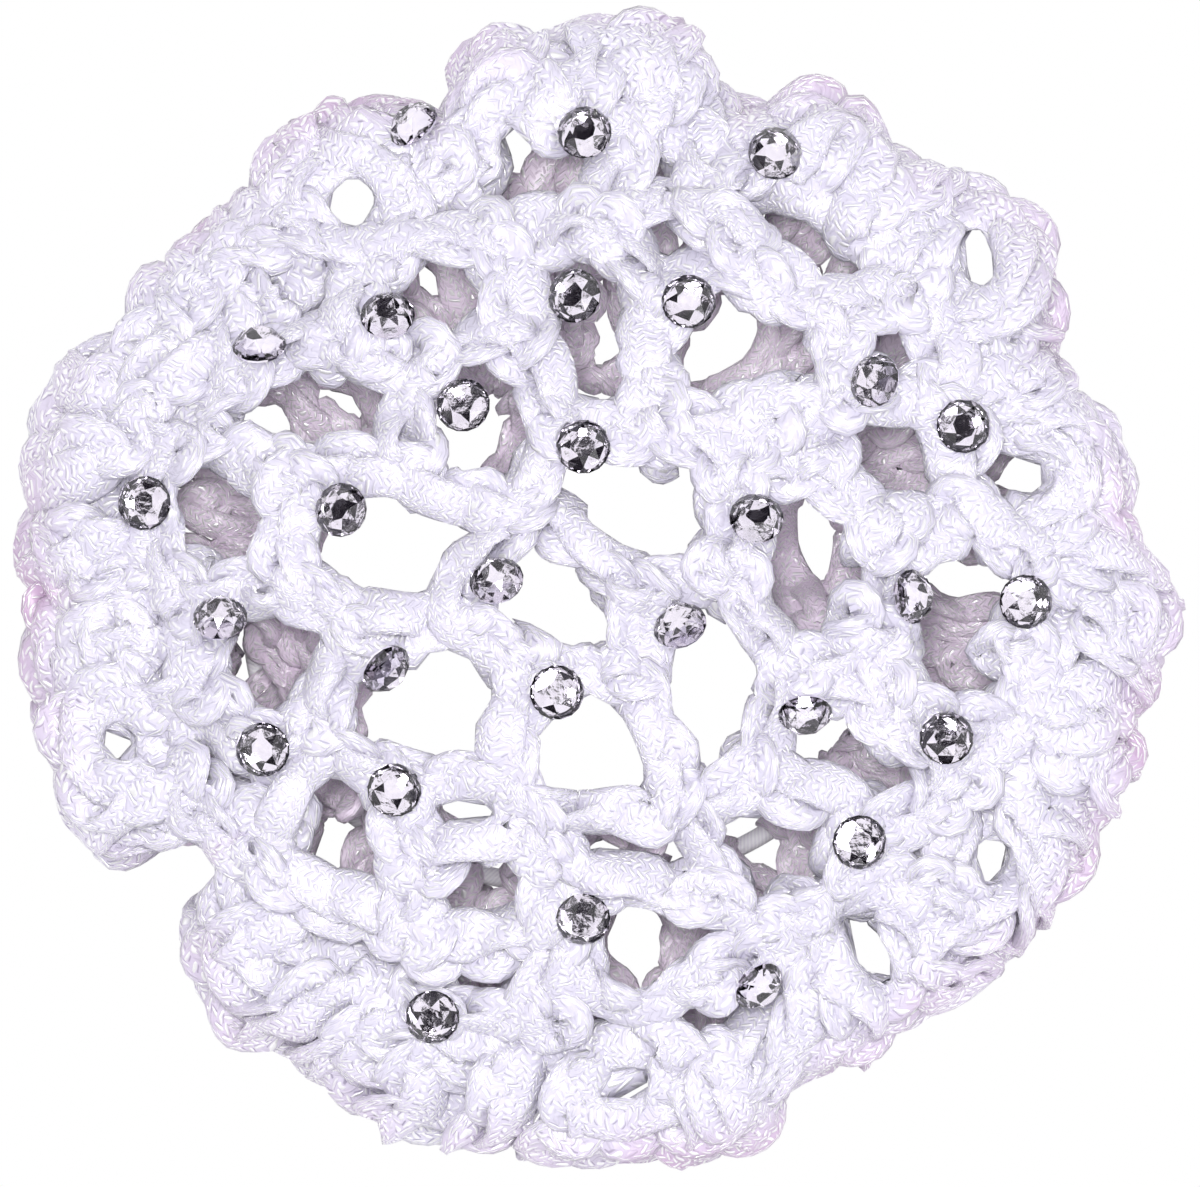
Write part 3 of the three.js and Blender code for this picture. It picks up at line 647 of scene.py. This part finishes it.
def knitted_ribbon(name, light, shade, shadow_colour, glow):
    """Warp-knitted viscose satin ribbon. Its filament floats show as short slanted dashes,
    about 0.5 mm by 0.25 mm, in close rows that lean to alternate sides. The floats are the ribbon's
    own pattern, but their white is a painted highlight, the glint of each float, whose brightness
    and tilt are seeded by its row and place, and larger painted patches of light make the glints
    stronger or weaker. Between them the ribbon is lavender, with a greyer line beside each float as
    its painted shadow, stronger near the border's rim, and some light passes through it. Near the
    border's rim the ribbon turns a little to mauve."""
    material, tree = new_material(name)
    uv = add_node(tree, "ShaderNodeUVMap", uv_map="ribbon")
    wander = add_node(tree, "ShaderNodeTexNoise", {"Vector": uv.outputs[0], "Scale": 0.6, "Detail": 1.0})
    patch = add_node(tree, "ShaderNodeTexNoise", {"Vector": uv.outputs[0], "Scale": 0.3, "Detail": 2.0})
    parts = add_node(tree, "ShaderNodeSeparateXYZ", {0: uv.outputs[0]})
    bent = maths(tree, "MULTIPLY_ADD", wander.outputs[0], 1.6, parts.outputs[1])
    row = maths(tree, "DIVIDE", bent, FLOAT_ROWS)
    row_no = maths(tree, "FLOOR", row)
    odd = maths(tree, "ABSOLUTE", maths(tree, "MODULO", row_no, 2.0))
    across = maths(tree, "SUBTRACT", maths(tree, "FRACT", row), 0.5)
    step = maths(tree, "MULTIPLY_ADD", odd, 0.5, maths(tree, "DIVIDE", parts.outputs[0], FLOAT_PITCH))
    step = maths(tree, "MULTIPLY_ADD", patch.outputs[0], 1.2, step)
    along = maths(tree, "SUBTRACT", maths(tree, "FRACT", step), 0.5)
    place = add_node(tree, "ShaderNodeCombineXYZ", {0: maths(tree, "FLOOR", step), 1: row_no})
    draws = add_node(tree, "ShaderNodeTexWhiteNoise", {"Vector": place.outputs[0]})
    chance = draws.outputs["Value"]
    second = add_node(tree, "ShaderNodeSeparateColor", {0: draws.outputs["Color"]}).outputs[1]
    lean = maths(tree, "ADD", maths(tree, "MULTIPLY_ADD", odd, 2.0, -1.5), second)
    off_line = maths(tree, "SUBTRACT", across, maths(tree, "MULTIPLY", lean, along))
    wide = maths(tree, "POWER", maths(tree, "ABSOLUTE", maths(tree, "DIVIDE", off_line, 0.31)), 2.0)
    long = maths(tree, "POWER", maths(tree, "ABSOLUTE", maths(tree, "DIVIDE", along, 0.44)), 4.0)
    rounded = maths(tree, "SUBTRACT", maths(tree, "SUBTRACT", 1.0, wide), long)
    float_shape = maths(tree, "MAXIMUM", rounded, 0.0)
    # Painted shadow: a greyer line beside each float, stronger near the rim
    beside = maths(tree, "ABSOLUTE", maths(tree, "SUBTRACT", off_line, 0.5))
    float_shadow = maths(tree, "MAXIMUM", maths(tree, "SUBTRACT", 1.0, maths(tree, "DIVIDE", beside, 0.14)), 0.0)
    # Painted light: larger patches where the floats glint more or less
    painted_light_patch = maths(tree, "MULTIPLY_ADD", maths(tree, "SUBTRACT", patch.outputs[0], 0.5), 2.6, -0.04)
    glint_strength = add_node(tree, "ShaderNodeMath", {0: maths(tree, "ADD", chance, painted_light_patch), 1: 2.2},
                      operation="MULTIPLY", use_clamp=True).outputs[0]
    crisp = add_node(tree, "ShaderNodeMath", {0: float_shape, 1: 2.2}, operation="MULTIPLY",
                     use_clamp=True).outputs[0]
    # Painted highlight: each float's white glint, laid over its real shape
    float_glint = maths(tree, "MULTIPLY", crisp, glint_strength)
    rim = add_node(tree, "ShaderNodeAttribute", attribute_name="rim")
    shadow_depth = maths(tree, "MULTIPLY_ADD", rim.outputs["Fac"], 0.3, 0.34)
    painted_shadow = maths(tree, "MULTIPLY", float_shadow, maths(tree, "MULTIPLY", glint_strength, shadow_depth))
    tone = maths(tree, "SUBTRACT", maths(tree, "MULTIPLY_ADD", float_glint, 0.55, 0.4), painted_shadow)
    # Colours from the painted shadow through the ribbon's lavender to the white of the painted glints
    ramp = add_node(tree, "ShaderNodeValToRGB", {0: tone})
    ramp.color_ramp.elements[0].position = 0.0
    ramp.color_ramp.elements[0].color = srgb(shadow_colour)
    ramp.color_ramp.elements[1].position = 0.8
    ramp.color_ramp.elements[1].color = srgb(light)
    middle = ramp.color_ramp.elements.new(0.4)
    middle.color = srgb(shade)
    spot = add_node(tree, "ShaderNodeTexCoord")
    blush = add_node(tree, "ShaderNodeTexNoise", {
        "Vector": spot.outputs["Object"], "Scale": 55.0, "Detail": 1.0})
    mauve = maths(tree, "MULTIPLY", maths(tree, "POWER", rim.outputs["Fac"], 2.0),
                  maths(tree, "MULTIPLY_ADD", blush.outputs[0], 2.2, -0.72))
    mauve = add_node(tree, "ShaderNodeMath", {0: mauve, 1: maths(tree, "SUBTRACT", 1.0, float_glint)},
                     operation="MULTIPLY", use_clamp=True).outputs[0]
    colour = add_node(tree, "ShaderNodeMix", {0: mauve, 6: ramp.outputs[0], 7: srgb("#bf9fc0")},
                      data_type="RGBA").outputs[2]
    tilt = maths(tree, "MULTIPLY", maths(tree, "SUBTRACT", chance, 0.5),
                 maths(tree, "MULTIPLY", along, 1.2))
    relief = maths(tree, "MULTIPLY", float_shape, maths(tree, "ADD", tilt, 1.0))
    height = add_node(tree, "ShaderNodeBump", {"Strength": 1.0, "Distance": 0.00007, "Height": relief})
    shader = add_node(tree, "ShaderNodeBsdfPrincipled", {
        "Base Color": colour, "Roughness": 0.55, "Normal": height.outputs[0],
        "Sheen Weight": 0.3, "Sheen Roughness": 0.35, "Specular IOR Level": 0.5})
    tangent = add_node(tree, "ShaderNodeTangent", direction_type="UV_MAP", uv_map="ribbon")
    satin = add_node(tree, "ShaderNodeBsdfAnisotropic", {
        "Color": (1, 1, 1, 1), "Roughness": 0.34, "Anisotropy": 0.6, "Normal": height.outputs[0],
        "Tangent": tangent.outputs[0]})
    share = maths(tree, "MULTIPLY_ADD", float_glint, 0.4, 0.05)
    both = add_node(tree, "ShaderNodeMixShader", {0: share, 1: shader.outputs[0], 2: satin.outputs[0]})
    passed = add_node(tree, "ShaderNodeBsdfTranslucent", {"Color": srgb(glow)})
    cloth = add_node(tree, "ShaderNodeMixShader", {0: 0.15, 1: both.outputs[0], 2: passed.outputs[0]})
    add_node(tree, "ShaderNodeOutputMaterial", {"Surface": cloth.outputs[0]})
    return material


def elastic_cover():
    """Round elastic cord in a braided white polyester cover, with fine ribs across it; its colour is a
    little greyer where the ribs dip, painted shade between them.
    """
    rib_pitch = 0.35
    material, tree = new_material("braided_elastic")
    uv = add_node(tree, "ShaderNodeUVMap", uv_map="ribbon")
    parts = add_node(tree, "ShaderNodeSeparateXYZ", {0: uv.outputs[0]})
    turn = maths(tree, "MULTIPLY_ADD", parts.outputs[1], 0.5, parts.outputs[0])
    rib = maths(tree, "SINE", maths(tree, "MULTIPLY", turn, TAU / rib_pitch))
    share = maths(tree, "MULTIPLY_ADD", rib, 0.5, 0.5)
    # Painted shade: greyer where the ribs dip, following the bump
    colour = add_node(tree, "ShaderNodeMix", {0: share, 6: srgb("#ece9f1"), 7: srgb("#fbfafd")},
                      data_type="RGBA")
    bump = add_node(tree, "ShaderNodeBump", {"Strength": 0.2, "Distance": 0.0001, "Height": share})
    shader = add_node(tree, "ShaderNodeBsdfPrincipled", {
        "Base Color": colour.outputs[2], "Roughness": 0.5, "Normal": bump.outputs[0], "Sheen Weight": 0.2})
    add_node(tree, "ShaderNodeOutputMaterial", {"Surface": shader.outputs[0]})
    return material


def crystal():
    """Cut lead-free crystal glass, clear and a little cold, polished."""
    material, tree = new_material("cut_crystal")
    cloud = add_node(tree, "ShaderNodeTexNoise", {"Scale": 900.0})
    colour = add_node(tree, "ShaderNodeMix", {0: cloud.outputs[0], 6: srgb("#f6f3fa"), 7: srgb("#ffffff")},
                      data_type="RGBA")
    shader = add_node(tree, "ShaderNodeBsdfPrincipled", {
        "Base Color": colour.outputs[2], "Roughness": 0.0, "IOR": 1.56, "Transmission Weight": 1.0})
    add_node(tree, "ShaderNodeOutputMaterial", {"Surface": shader.outputs[0]})
    return material


def silver_foil():
    """Silver foil sprayed on the flat back: a mirror seen through the glass, slightly uneven."""
    material, tree = new_material("silver_foil")
    spot = add_node(tree, "ShaderNodeTexCoord")
    grain = add_node(tree, "ShaderNodeTexNoise", {
        "Vector": spot.outputs["Object"], "Scale": 1400.0, "Detail": 2.0})
    colour = add_node(tree, "ShaderNodeMix", {0: grain.outputs[0], 6: srgb("#d8d3de"), 7: srgb("#f7f4fa")},
                      data_type="RGBA")
    uneven = add_node(tree, "ShaderNodeBump", {
        "Strength": 0.2, "Distance": 0.00005, "Height": grain.outputs[0]})
    shader = add_node(tree, "ShaderNodeBsdfPrincipled", {
        "Base Color": colour.outputs[2], "Metallic": 1.0, "Roughness": 0.06, "Normal": uneven.outputs[0]})
    add_node(tree, "ShaderNodeOutputMaterial", {"Surface": shader.outputs[0]})
    return material


# Two copies of one ribbon that differ only to paint light and shade: the low one, lying in the recesses
# under the net, is painted lighter to lift its shade, and more mauve, the tint of that shade
satin_top = knitted_ribbon("satin_ribbon", "#ffffff", "#d3cfe0", "#86829a", "#f9f6fc")
satin_low_painted_light = knitted_ribbon("satin_ribbon_low_painted_light", "#ffffff", "#f4e4f7", "#b8a4c4", "#fceffc")
cover = elastic_cover()
glass = crystal()
foil = silver_foil()

knots = {name: np.array([east, north]) * SHARE for name, east, north in KNOTS}

OVER_LIFT = 0.45                 # how far a chain that rides over another one is lifted
WRAP_LIFT = 0.8                  # lift of a knot's wrap, and how far its ends dip again
WRAP_DIP = 1.3


def crown_cloth(rows, first):
    """The chains of some rounds of the crown, seeded from `first` on: each follows its knots, is led
    past the openings and is drawn in to those that show the floor."""
    cloth = Cloth()
    for number, (run, over, closed) in enumerate(rows):
        spots = np.array([knots[n] for n in run.split(" ")])
        xy = curve_through(spots, bool(closed))
        xy = draw_in(lead_past(xy, ALL_OPEN, CROWN_MARGIN), FLOOR_OPEN, CROWN_MARGIN)
        path, up = on_crown(xy, OVER_LIFT * over)
        crochet_chain(cloth, path, up, first + number, holes=ALL_OPEN)
    return cloth


def knot_wraps():
    """Short wraps over the knots, where the chains are joined: a stitch or two laid across each
    knot at a seeded turn, a little higher than the chains, its ends dipping with the fourth
    power of the distance."""
    cloth = Cloth()
    for number, (name, spot) in enumerate(knots.items()):
        rng = np.random.default_rng(700 + number)
        turn = rng.uniform(0, np.pi)
        arm = np.array([np.cos(turn), np.sin(turn)]) * rng.uniform(2.6, 3.6)
        bend = np.array([-np.sin(turn), np.cos(turn)]) * rng.uniform(-1, 1)
        xy = curve_through([spot - arm, spot + bend, spot + arm])
        xy = lead_past(xy, ALL_OPEN, CROWN_MARGIN)
        path, up = on_crown(xy, WRAP_LIFT)
        ends = np.linspace(-1, 1, len(path))
        path = path - up * (WRAP_DIP * ends ** 4)[:, None]
        crochet_chain(cloth, path, up, 700 + number, stitch=4.2, holes=ALL_OPEN)
    return cloth


crown_cloth(INNER_CHAINS, 0).build("crocheted_crown", satin_top, "ribbon_yarn", ["crown_net"])
crown_cloth(OUTER_CHAINS, 100).build("crocheted_outer_rounds", satin_top, "ribbon_yarn", [])
knot_wraps().build("joined_knots", satin_top, "ribbon_yarn", [])

# Border rows: inset from the outline, height, how far they wander in reach and height,
# stitch length and the number of waves round the border
BORDER_ROWS = [
    (9.2, 12.2, 1.0, 0.6, 6.2, 23), (6.2, 10.8, 0.9, 0.9, 6.4, 31), (3.9, 8.4, 0.5, 0.8, 6.0, 37),
    (3.0, 5.3, 0.3, 0.8, 6.2, 41), (3.9, 2.8, 0.4, 0.4, 6.0, 29), (8.0, 1.9, 0.8, 0.3, 6.2, 27),
]
SHELL_SPAN = 8.2                 # about how many degrees a shell stitch takes
# Places along a shell stitch, from the net over the edge and down: inset from the outline, height,
# share of the seeded puff and share of the seeded drift round the net
SHELL_PLACES = np.array([
    (10.5, 13.6, 0, -1), (7.3, 12.9, 1, -0.6), (4.2, 11.3, 1, 0),
    (2.1, 8.4, 1, 0.6), (1.8, 5.0, 0, 0.9), (3.0, 2.6, 0, 1),
])
BORDER_RIBBON = 4.8              # width of the border's ribbon, which lies flatter
BORDER_SAMPLES = 1400


def facing_out(path, angle):
    """Normals of a path that runs out from the middle at a turn: its own direction crossed with
    the tangent of the round."""
    run = unit(np.gradient(path, axis=0))
    tangent = np.array([-np.sin(angle), np.cos(angle), 0])
    return unit(np.cross(run, np.broadcast_to(tangent, run.shape)))


def shell_turns():
    """Turn of each shell stitch in degrees: each scallop between two notches holds as many
    shells as fit, evenly spaced, so that a notch always falls between two of them."""
    notches = [row[2] for row in SCALLOPS]
    turns = []
    for start, end in zip([notches[-1] - 360] + notches[:-1], notches):
        count = max(1, round((end - start) / SHELL_SPAN))
        turns += [start + (end - start) * (k + 0.5) / count for k in range(count)]
    return turns


def border_row(cloth, inset, level, wander, rise, stitch, waves, tag):
    """A chain round the border at an inset from the outline, weaving in and out and up and down.
    Its upper face turns outwards as it goes down the edge."""
    angle = np.linspace(0, TAU, BORDER_SAMPLES)
    sway = np.sin(waves * angle + tag) * 0.7 + 0.5 * np.sin(17 * angle + 2.1 * tag)
    reach = border_reach(angle) - inset + wander * np.minimum(sway, 0.4)
    blur = 7
    kernel = np.hanning(2 * blur + 1) / np.hanning(2 * blur + 1).sum()
    round_again = np.concatenate([reach[-blur - 1:-1], reach, reach[1:blur + 1]])
    reach = np.convolve(round_again, kernel, "valid")
    z = level + rise * np.cos(waves * angle * 0.5 + 1.7 * tag)
    path = np.stack([reach * np.cos(angle), reach * np.sin(angle), z], -1)
    path = lead_past(path, RIM_OPEN, ROW_MARGIN, half=9)
    lean = np.radians(np.interp(level, [0, 3, 6, 9, 13], [150, 115, 80, 45, 20]))
    up = np.stack([np.sin(lean) * np.cos(angle), np.sin(lean) * np.sin(angle),
                   np.full_like(angle, np.cos(lean))], -1)
    crochet_chain(cloth, path, up, tag, stitch=stitch, half=1.6, width=BORDER_RIBBON, holes=RIM_OPEN)


def border_shell(cloth, number, middle):
    """A shell stitch: a short chain that comes from the net over the edge and down, its face
    turning from up to out, at a seeded turn and lean."""
    rng = np.random.default_rng(1200 + number)
    angle = np.radians(middle + rng.uniform(-0.8, 0.8))
    drift = rng.uniform(-0.07, 0.07)
    inset, level, puffed, drifting = SHELL_PLACES.T
    level = level + puffed * rng.uniform(-0.5, 0.7)
    turn = angle + drift * drifting
    near = np.radians(np.arange(-4, 5, 2))
    beside = border_reach(turn[:, None] + near)
    reach = 0.35 * beside.mean(1) + 0.65 * beside.min(1) - inset
    path = curve_through(np.stack([reach * np.cos(turn), reach * np.sin(turn), level], -1))
    path = lead_past(path, RIM_OPEN, SHELL_MARGIN)
    crochet_chain(cloth, path, facing_out(path, angle), 1200 + number, stitch=5.8, half=1.5,
                  width=BORDER_RIBBON, holes=RIM_OPEN)


border = Cloth()
for k, row in enumerate(BORDER_ROWS):
    border_row(border, *row, 200 + k)
border.build("crocheted_border", satin_top, "ribbon_yarn", ["edge_ruffle"])
shells = Cloth()
for k, middle in enumerate(shell_turns()):
    border_shell(shells, k, middle)
shells.build("border_shells", satin_top, "ribbon_yarn", [])

# Band under the net: posts from the elastic out to the border
POSTS = 62
BARE = np.radians([187.7, 218.7, 251.2, 60, 95.6])    # turns where the elastic shows between posts
# Distance of a post's first places from the elastic's middle line: where it wraps the cord, and
# where it stays outside and leaves the cord bare
WRAPPED = [1.5, -0.6, -1.7, -0.4, 2.5]
CLEAR = [2.4, 2.0, 1.8, 2.2, 3.2]
POST_END = 6                     # a post ends this far inside the outline


def band_post(cloth, number):
    """A chain from the elastic out to the border: it passes under and over the cord, or stays
    outside it where the elastic shows, then runs flat, drifting a little round the net."""
    rng = np.random.default_rng(900 + number)
    angle = (number + rng.uniform(-0.2, 0.2)) / POSTS * TAU
    bare = np.abs(angle - BARE).min() < 0.55 * TAU / POSTS
    inner = float(elastic_reach(np.array([angle]))[0])
    outer = float(border_reach(np.array([angle]))[0]) - POST_END
    drift = rng.uniform(-0.05, 0.05)
    wrap = CLEAR if bare else WRAPPED
    reach = np.array([inner + r for r in wrap] + [(inner + outer) / 2, outer])
    z = np.array([0.8, 0.75, 1.9, 3.3, 3.0, 3.2 + rng.uniform(-0.4, 0.6), 2.6])
    turn = angle + drift * np.array([0, 0, 0, 0, 0.3, 0.7, 1])
    spots = np.stack([reach * np.cos(turn), reach * np.sin(turn), z], -1)
    path = lead_past(curve_through(spots), FLOOR_OPEN, POST_MARGIN)
    crochet_chain(cloth, path, facing_out(path, angle), 300 + number, stitch=4.4, half=0.95,
                  lift=0.35, width=3.0, thick=1.1, per_stitch=18, holes=FLOOR_OPEN, margin=0.8)


band = Cloth()
for k in range(POSTS):
    band_post(band, k)
band.build("crocheted_band", satin_low_painted_light, "ribbon_yarn", ["gathered_band"])


# Loops of ribbon that hang from the net inside the mouth: east and north in hundredths of the
# half width, and the height
HANGING = [
    [(-12, 34, 15), (-13.5, 27, 7), (-15, 20, 8), (-14, 13, 16)],
    [(31, 19, 15), (30, 10, 8), (33, 2, 7), (37, -5, 15)],
    [(44, 17, 14), (42.5, 8, 8), (40, 0, 8), (38, -7, 15)],
    [(-50, 2, 14), (-49.5, -6, 7), (-47, -13, 7), (-45, -20, 14)],
    [(-43, -2, 15), (-44, -9, 9), (-41, -16, 10), (-38, -22, 15)],
    [(-5, -38, 16), (2, -40, 9), (9, -43, 16)],
    [(-26, -35, 15), (-20, -41.5, 8), (-12, -43, 15)],
    [(-45, 17, 14), (-49, 10, 8), (-50, 4, 14)],
    [(-57, -3, 9), (-53, -11, 4.5), (-49, -20, 9)],
    [(-8, 36, 15), (-9, 28, 6), (-11, 20, 6), (-9, 12, 15)],
    [(-52, -28, 12), (-46, -33, 5), (-40, -35, 12)],
]
hanging = Cloth()
for k, rows in enumerate(HANGING):
    path = curve_through(np.array(rows, float) * [SHARE, SHARE, 1])
    run = unit(np.gradient(path, axis=0))
    up = unit(np.cross(np.cross(run, [0, 0, 1.0]), run))
    crochet_chain(hanging, path, up, 1500 + k, stitch=5.2, half=0.7, width=3.2, holes=FLOOR_OPEN)
hanging.build("hanging_loops", satin_low_painted_light, "ribbon_yarn", [])


def elastic_piece():
    """The covered elastic: a round section carried along the mouth's ellipse, closed on itself."""
    cloth = Cloth()
    angle = np.linspace(0, TAU, 241)
    reach = elastic_reach(angle)
    level = np.full_like(angle, ELASTIC_LEVEL)
    line = np.stack([reach * np.cos(angle), reach * np.sin(angle), level], -1)
    out = np.stack([np.cos(angle), np.sin(angle), 0 * angle], -1)
    theta = np.arange(16) / 16 * TAU
    rings = (line[:, None] + out[:, None] * (np.cos(-theta) * ELASTIC_DIAMETER / 2)[None, :, None]
             + np.array([0, 0, 1.0]) * (np.sin(-theta) * ELASTIC_DIAMETER / 2)[None, :, None])
    length = np.concatenate([[0], np.cumsum(np.linalg.norm(np.diff(line, axis=0), axis=1))])
    cloth.add(rings[:-1], length, theta * ELASTIC_DIAMETER / 2, closed=True)
    cloth.build("elastic_cord", cover, "elastic", ["elastic_ring"])


elastic_piece()


def stone_piece(number):
    """Round flat-back stone at the place of its node: a foiled flat back and wall of 16 corners,
    24 three-sided facets up to a waist of 8 corners, 16 more up to the table, and the eight-sided
    table. The facets are turned about the axis by a seeded spin."""
    back, axis, across, other = SEATS[number - 1]
    rng = np.random.default_rng(5000 + number)
    spin = rng.uniform(0, TAU)
    radius = STONE_DIAMETER / 2

    def ring(count, r, height, turn):
        a = spin + (np.arange(count) + turn) * TAU / count
        return back + r * (np.cos(a)[:, None] * across + np.sin(a)[:, None] * other) + height * axis

    low = ring(16, radius * 0.985, 0.0, 0)
    girdle = ring(16, radius, STONE_HEIGHT * 0.14, 0)
    waist = ring(8, radius * 0.8, STONE_HEIGHT * 0.6, 0.25)
    table = ring(8, radius * 0.48, STONE_HEIGHT * 0.96, 0.25 + 0.5)
    points = np.concatenate([low, girdle, waist, table])
    g, w, t = 16, 32, 40         # first corner of the girdle, of the waist and of the table
    faces = [list(range(15, -1, -1)), [t + k for k in range(8)]]
    for k in range(16):
        n = (k + 1) % 16
        faces.append([k, n, g + n, g + k])
    for k in range(8):
        a, b, c = 2 * k, 2 * k + 1, (2 * k + 2) % 16
        nk, pk = (k + 1) % 8, (k - 1) % 8
        faces.append([g + a, g + b, w + k])
        faces.append([g + b, w + nk, w + k])
        faces.append([g + b, g + c, w + nk])
        faces.append([w + k, w + nk, t + k])
        faces.append([w + k, t + k, t + pk])
    mesh = bpy.data.meshes.new("stone_%02d" % number)
    mesh.from_pydata((points * MM).tolist(), [], faces)
    mesh.update()
    mesh.materials.append(glass)
    mesh.materials.append(foil)
    back_and_wall = [1] + [0] + [1] * 16         # foil on the back and wall, none on the table
    backed = np.array(back_and_wall + [0] * (len(faces) - len(back_and_wall)))
    mesh.polygons.foreach_set("material_index", backed.astype(np.int32))
    piece = bpy.data.objects.new("stone_%02d" % number, mesh)
    bpy.context.scene.collection.objects.link(piece)
    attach(piece, "root")
    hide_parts("rhinestone_%02d" % number)


for k in range(1, STONE_COUNT + 1):
    stone_piece(k)

# Camera: straight down with a very long lens
FRAME_WIDTH = 103.1              # across the picture, at SCALE_LEVEL over the table
SCALE_LEVEL = 5
DISTANCE = 4000.0
CAMERA_EAST = -0.192
CAMERA_NORTH = -0.333
SENSOR_WIDTH = 36
camera_data = bpy.data.cameras.new("camera")
camera_data.sensor_width = SENSOR_WIDTH
camera_data.lens = SENSOR_WIDTH * (DISTANCE - SCALE_LEVEL) / FRAME_WIDTH
camera_data.clip_start = 0.5
camera_data.clip_end = 20
camera = bpy.data.objects.new("camera", camera_data)
camera.location = (CAMERA_EAST * MM, CAMERA_NORTH * MM, DISTANCE * MM)
bpy.context.scene.collection.objects.link(camera)
bpy.context.scene.camera = camera

# Floor: pale paper, lit so that it stays near white in the openings too
FLOOR_LEVEL = -0.0002            # in metres, a hair under the part
floor_mesh = bpy.data.meshes.new("floor")
corners = [(east, north, FLOOR_LEVEL) for east, north in ((-1, -1), (1, -1), (1, 1), (-1, 1))]
floor_mesh.from_pydata(corners, [], [(0, 1, 2, 3)])
floor = bpy.data.objects.new("floor", floor_mesh)
bpy.context.scene.collection.objects.link(floor)
paper, tree = new_material("pale_paper")
path_kind = add_node(tree, "ShaderNodeLightPath")
lit = add_node(tree, "ShaderNodeBsdfDiffuse", {"Color": (0.75, 0.75, 0.76, 1)})
glow = add_node(tree, "ShaderNodeEmission", {"Color": (1, 1, 1, 1), "Strength": 1.0})
either = add_node(tree, "ShaderNodeMixShader", {
    0: path_kind.outputs["Is Camera Ray"], 1: lit.outputs[0], 2: glow.outputs[0]})
add_node(tree, "ShaderNodeOutputMaterial", {"Surface": either.outputs[0]})
floor_mesh.materials.append(paper)

# Light: a pale room with soft darker parts that the facets can mirror, and two soft boxes
world = bpy.data.worlds.new("studio")
bpy.context.scene.world = world
world.use_nodes = True
tree = world.node_tree
tree.nodes.clear()
where = add_node(tree, "ShaderNodeTexCoord")
patches = add_node(tree, "ShaderNodeTexNoise", {
    "Vector": where.outputs["Generated"], "Scale": 4.2, "Detail": 1.0})
ramp = add_node(tree, "ShaderNodeValToRGB", {0: patches.outputs[0]})
ramp.color_ramp.elements[0].position = 0.475
ramp.color_ramp.elements[0].color = (0.012, 0.01, 0.014, 1)
ramp.color_ramp.elements[1].position = 0.505
ramp.color_ramp.elements[1].color = (1.0, 0.99, 1.0, 1)
kind = add_node(tree, "ShaderNodeLightPath")
mirrored = maths(tree, "MAXIMUM", kind.outputs["Is Glossy Ray"], kind.outputs["Is Transmission Ray"])
seen = add_node(tree, "ShaderNodeMix", {0: mirrored, 6: (0.77, 0.765, 0.785, 1), 7: ramp.outputs[0]},
                data_type="RGBA")
back = add_node(tree, "ShaderNodeBackground", {"Color": seen.outputs[2], "Strength": 1.2})
add_node(tree, "ShaderNodeOutputWorld", {"Surface": back.outputs[0]})


def soft_box(name, place, size, power, colour):
    """A square area light at a place, facing the origin."""
    data = bpy.data.lights.new(name, "AREA")
    data.shape = "SQUARE"
    data.size = size
    data.energy = power
    data.color = colour
    lamp = bpy.data.objects.new(name, data)
    lamp.location = place
    direction = -np.array(place, float)
    lamp.rotation_mode = "QUATERNION"
    lamp.rotation_quaternion = Vector(direction).to_track_quat("-Z", "Y")
    bpy.context.scene.collection.objects.link(lamp)


soft_box("key_box", (-0.05, 0.075, 1.2), 0.3, 10.1, (1, 0.995, 0.99))
soft_box("fill_box", (0.5, -0.35, 0.6), 0.5, 1.5, (0.97, 0.97, 1))

scene = bpy.context.scene
scene.view_settings.view_transform = "Standard"
scene.view_settings.look = "None"
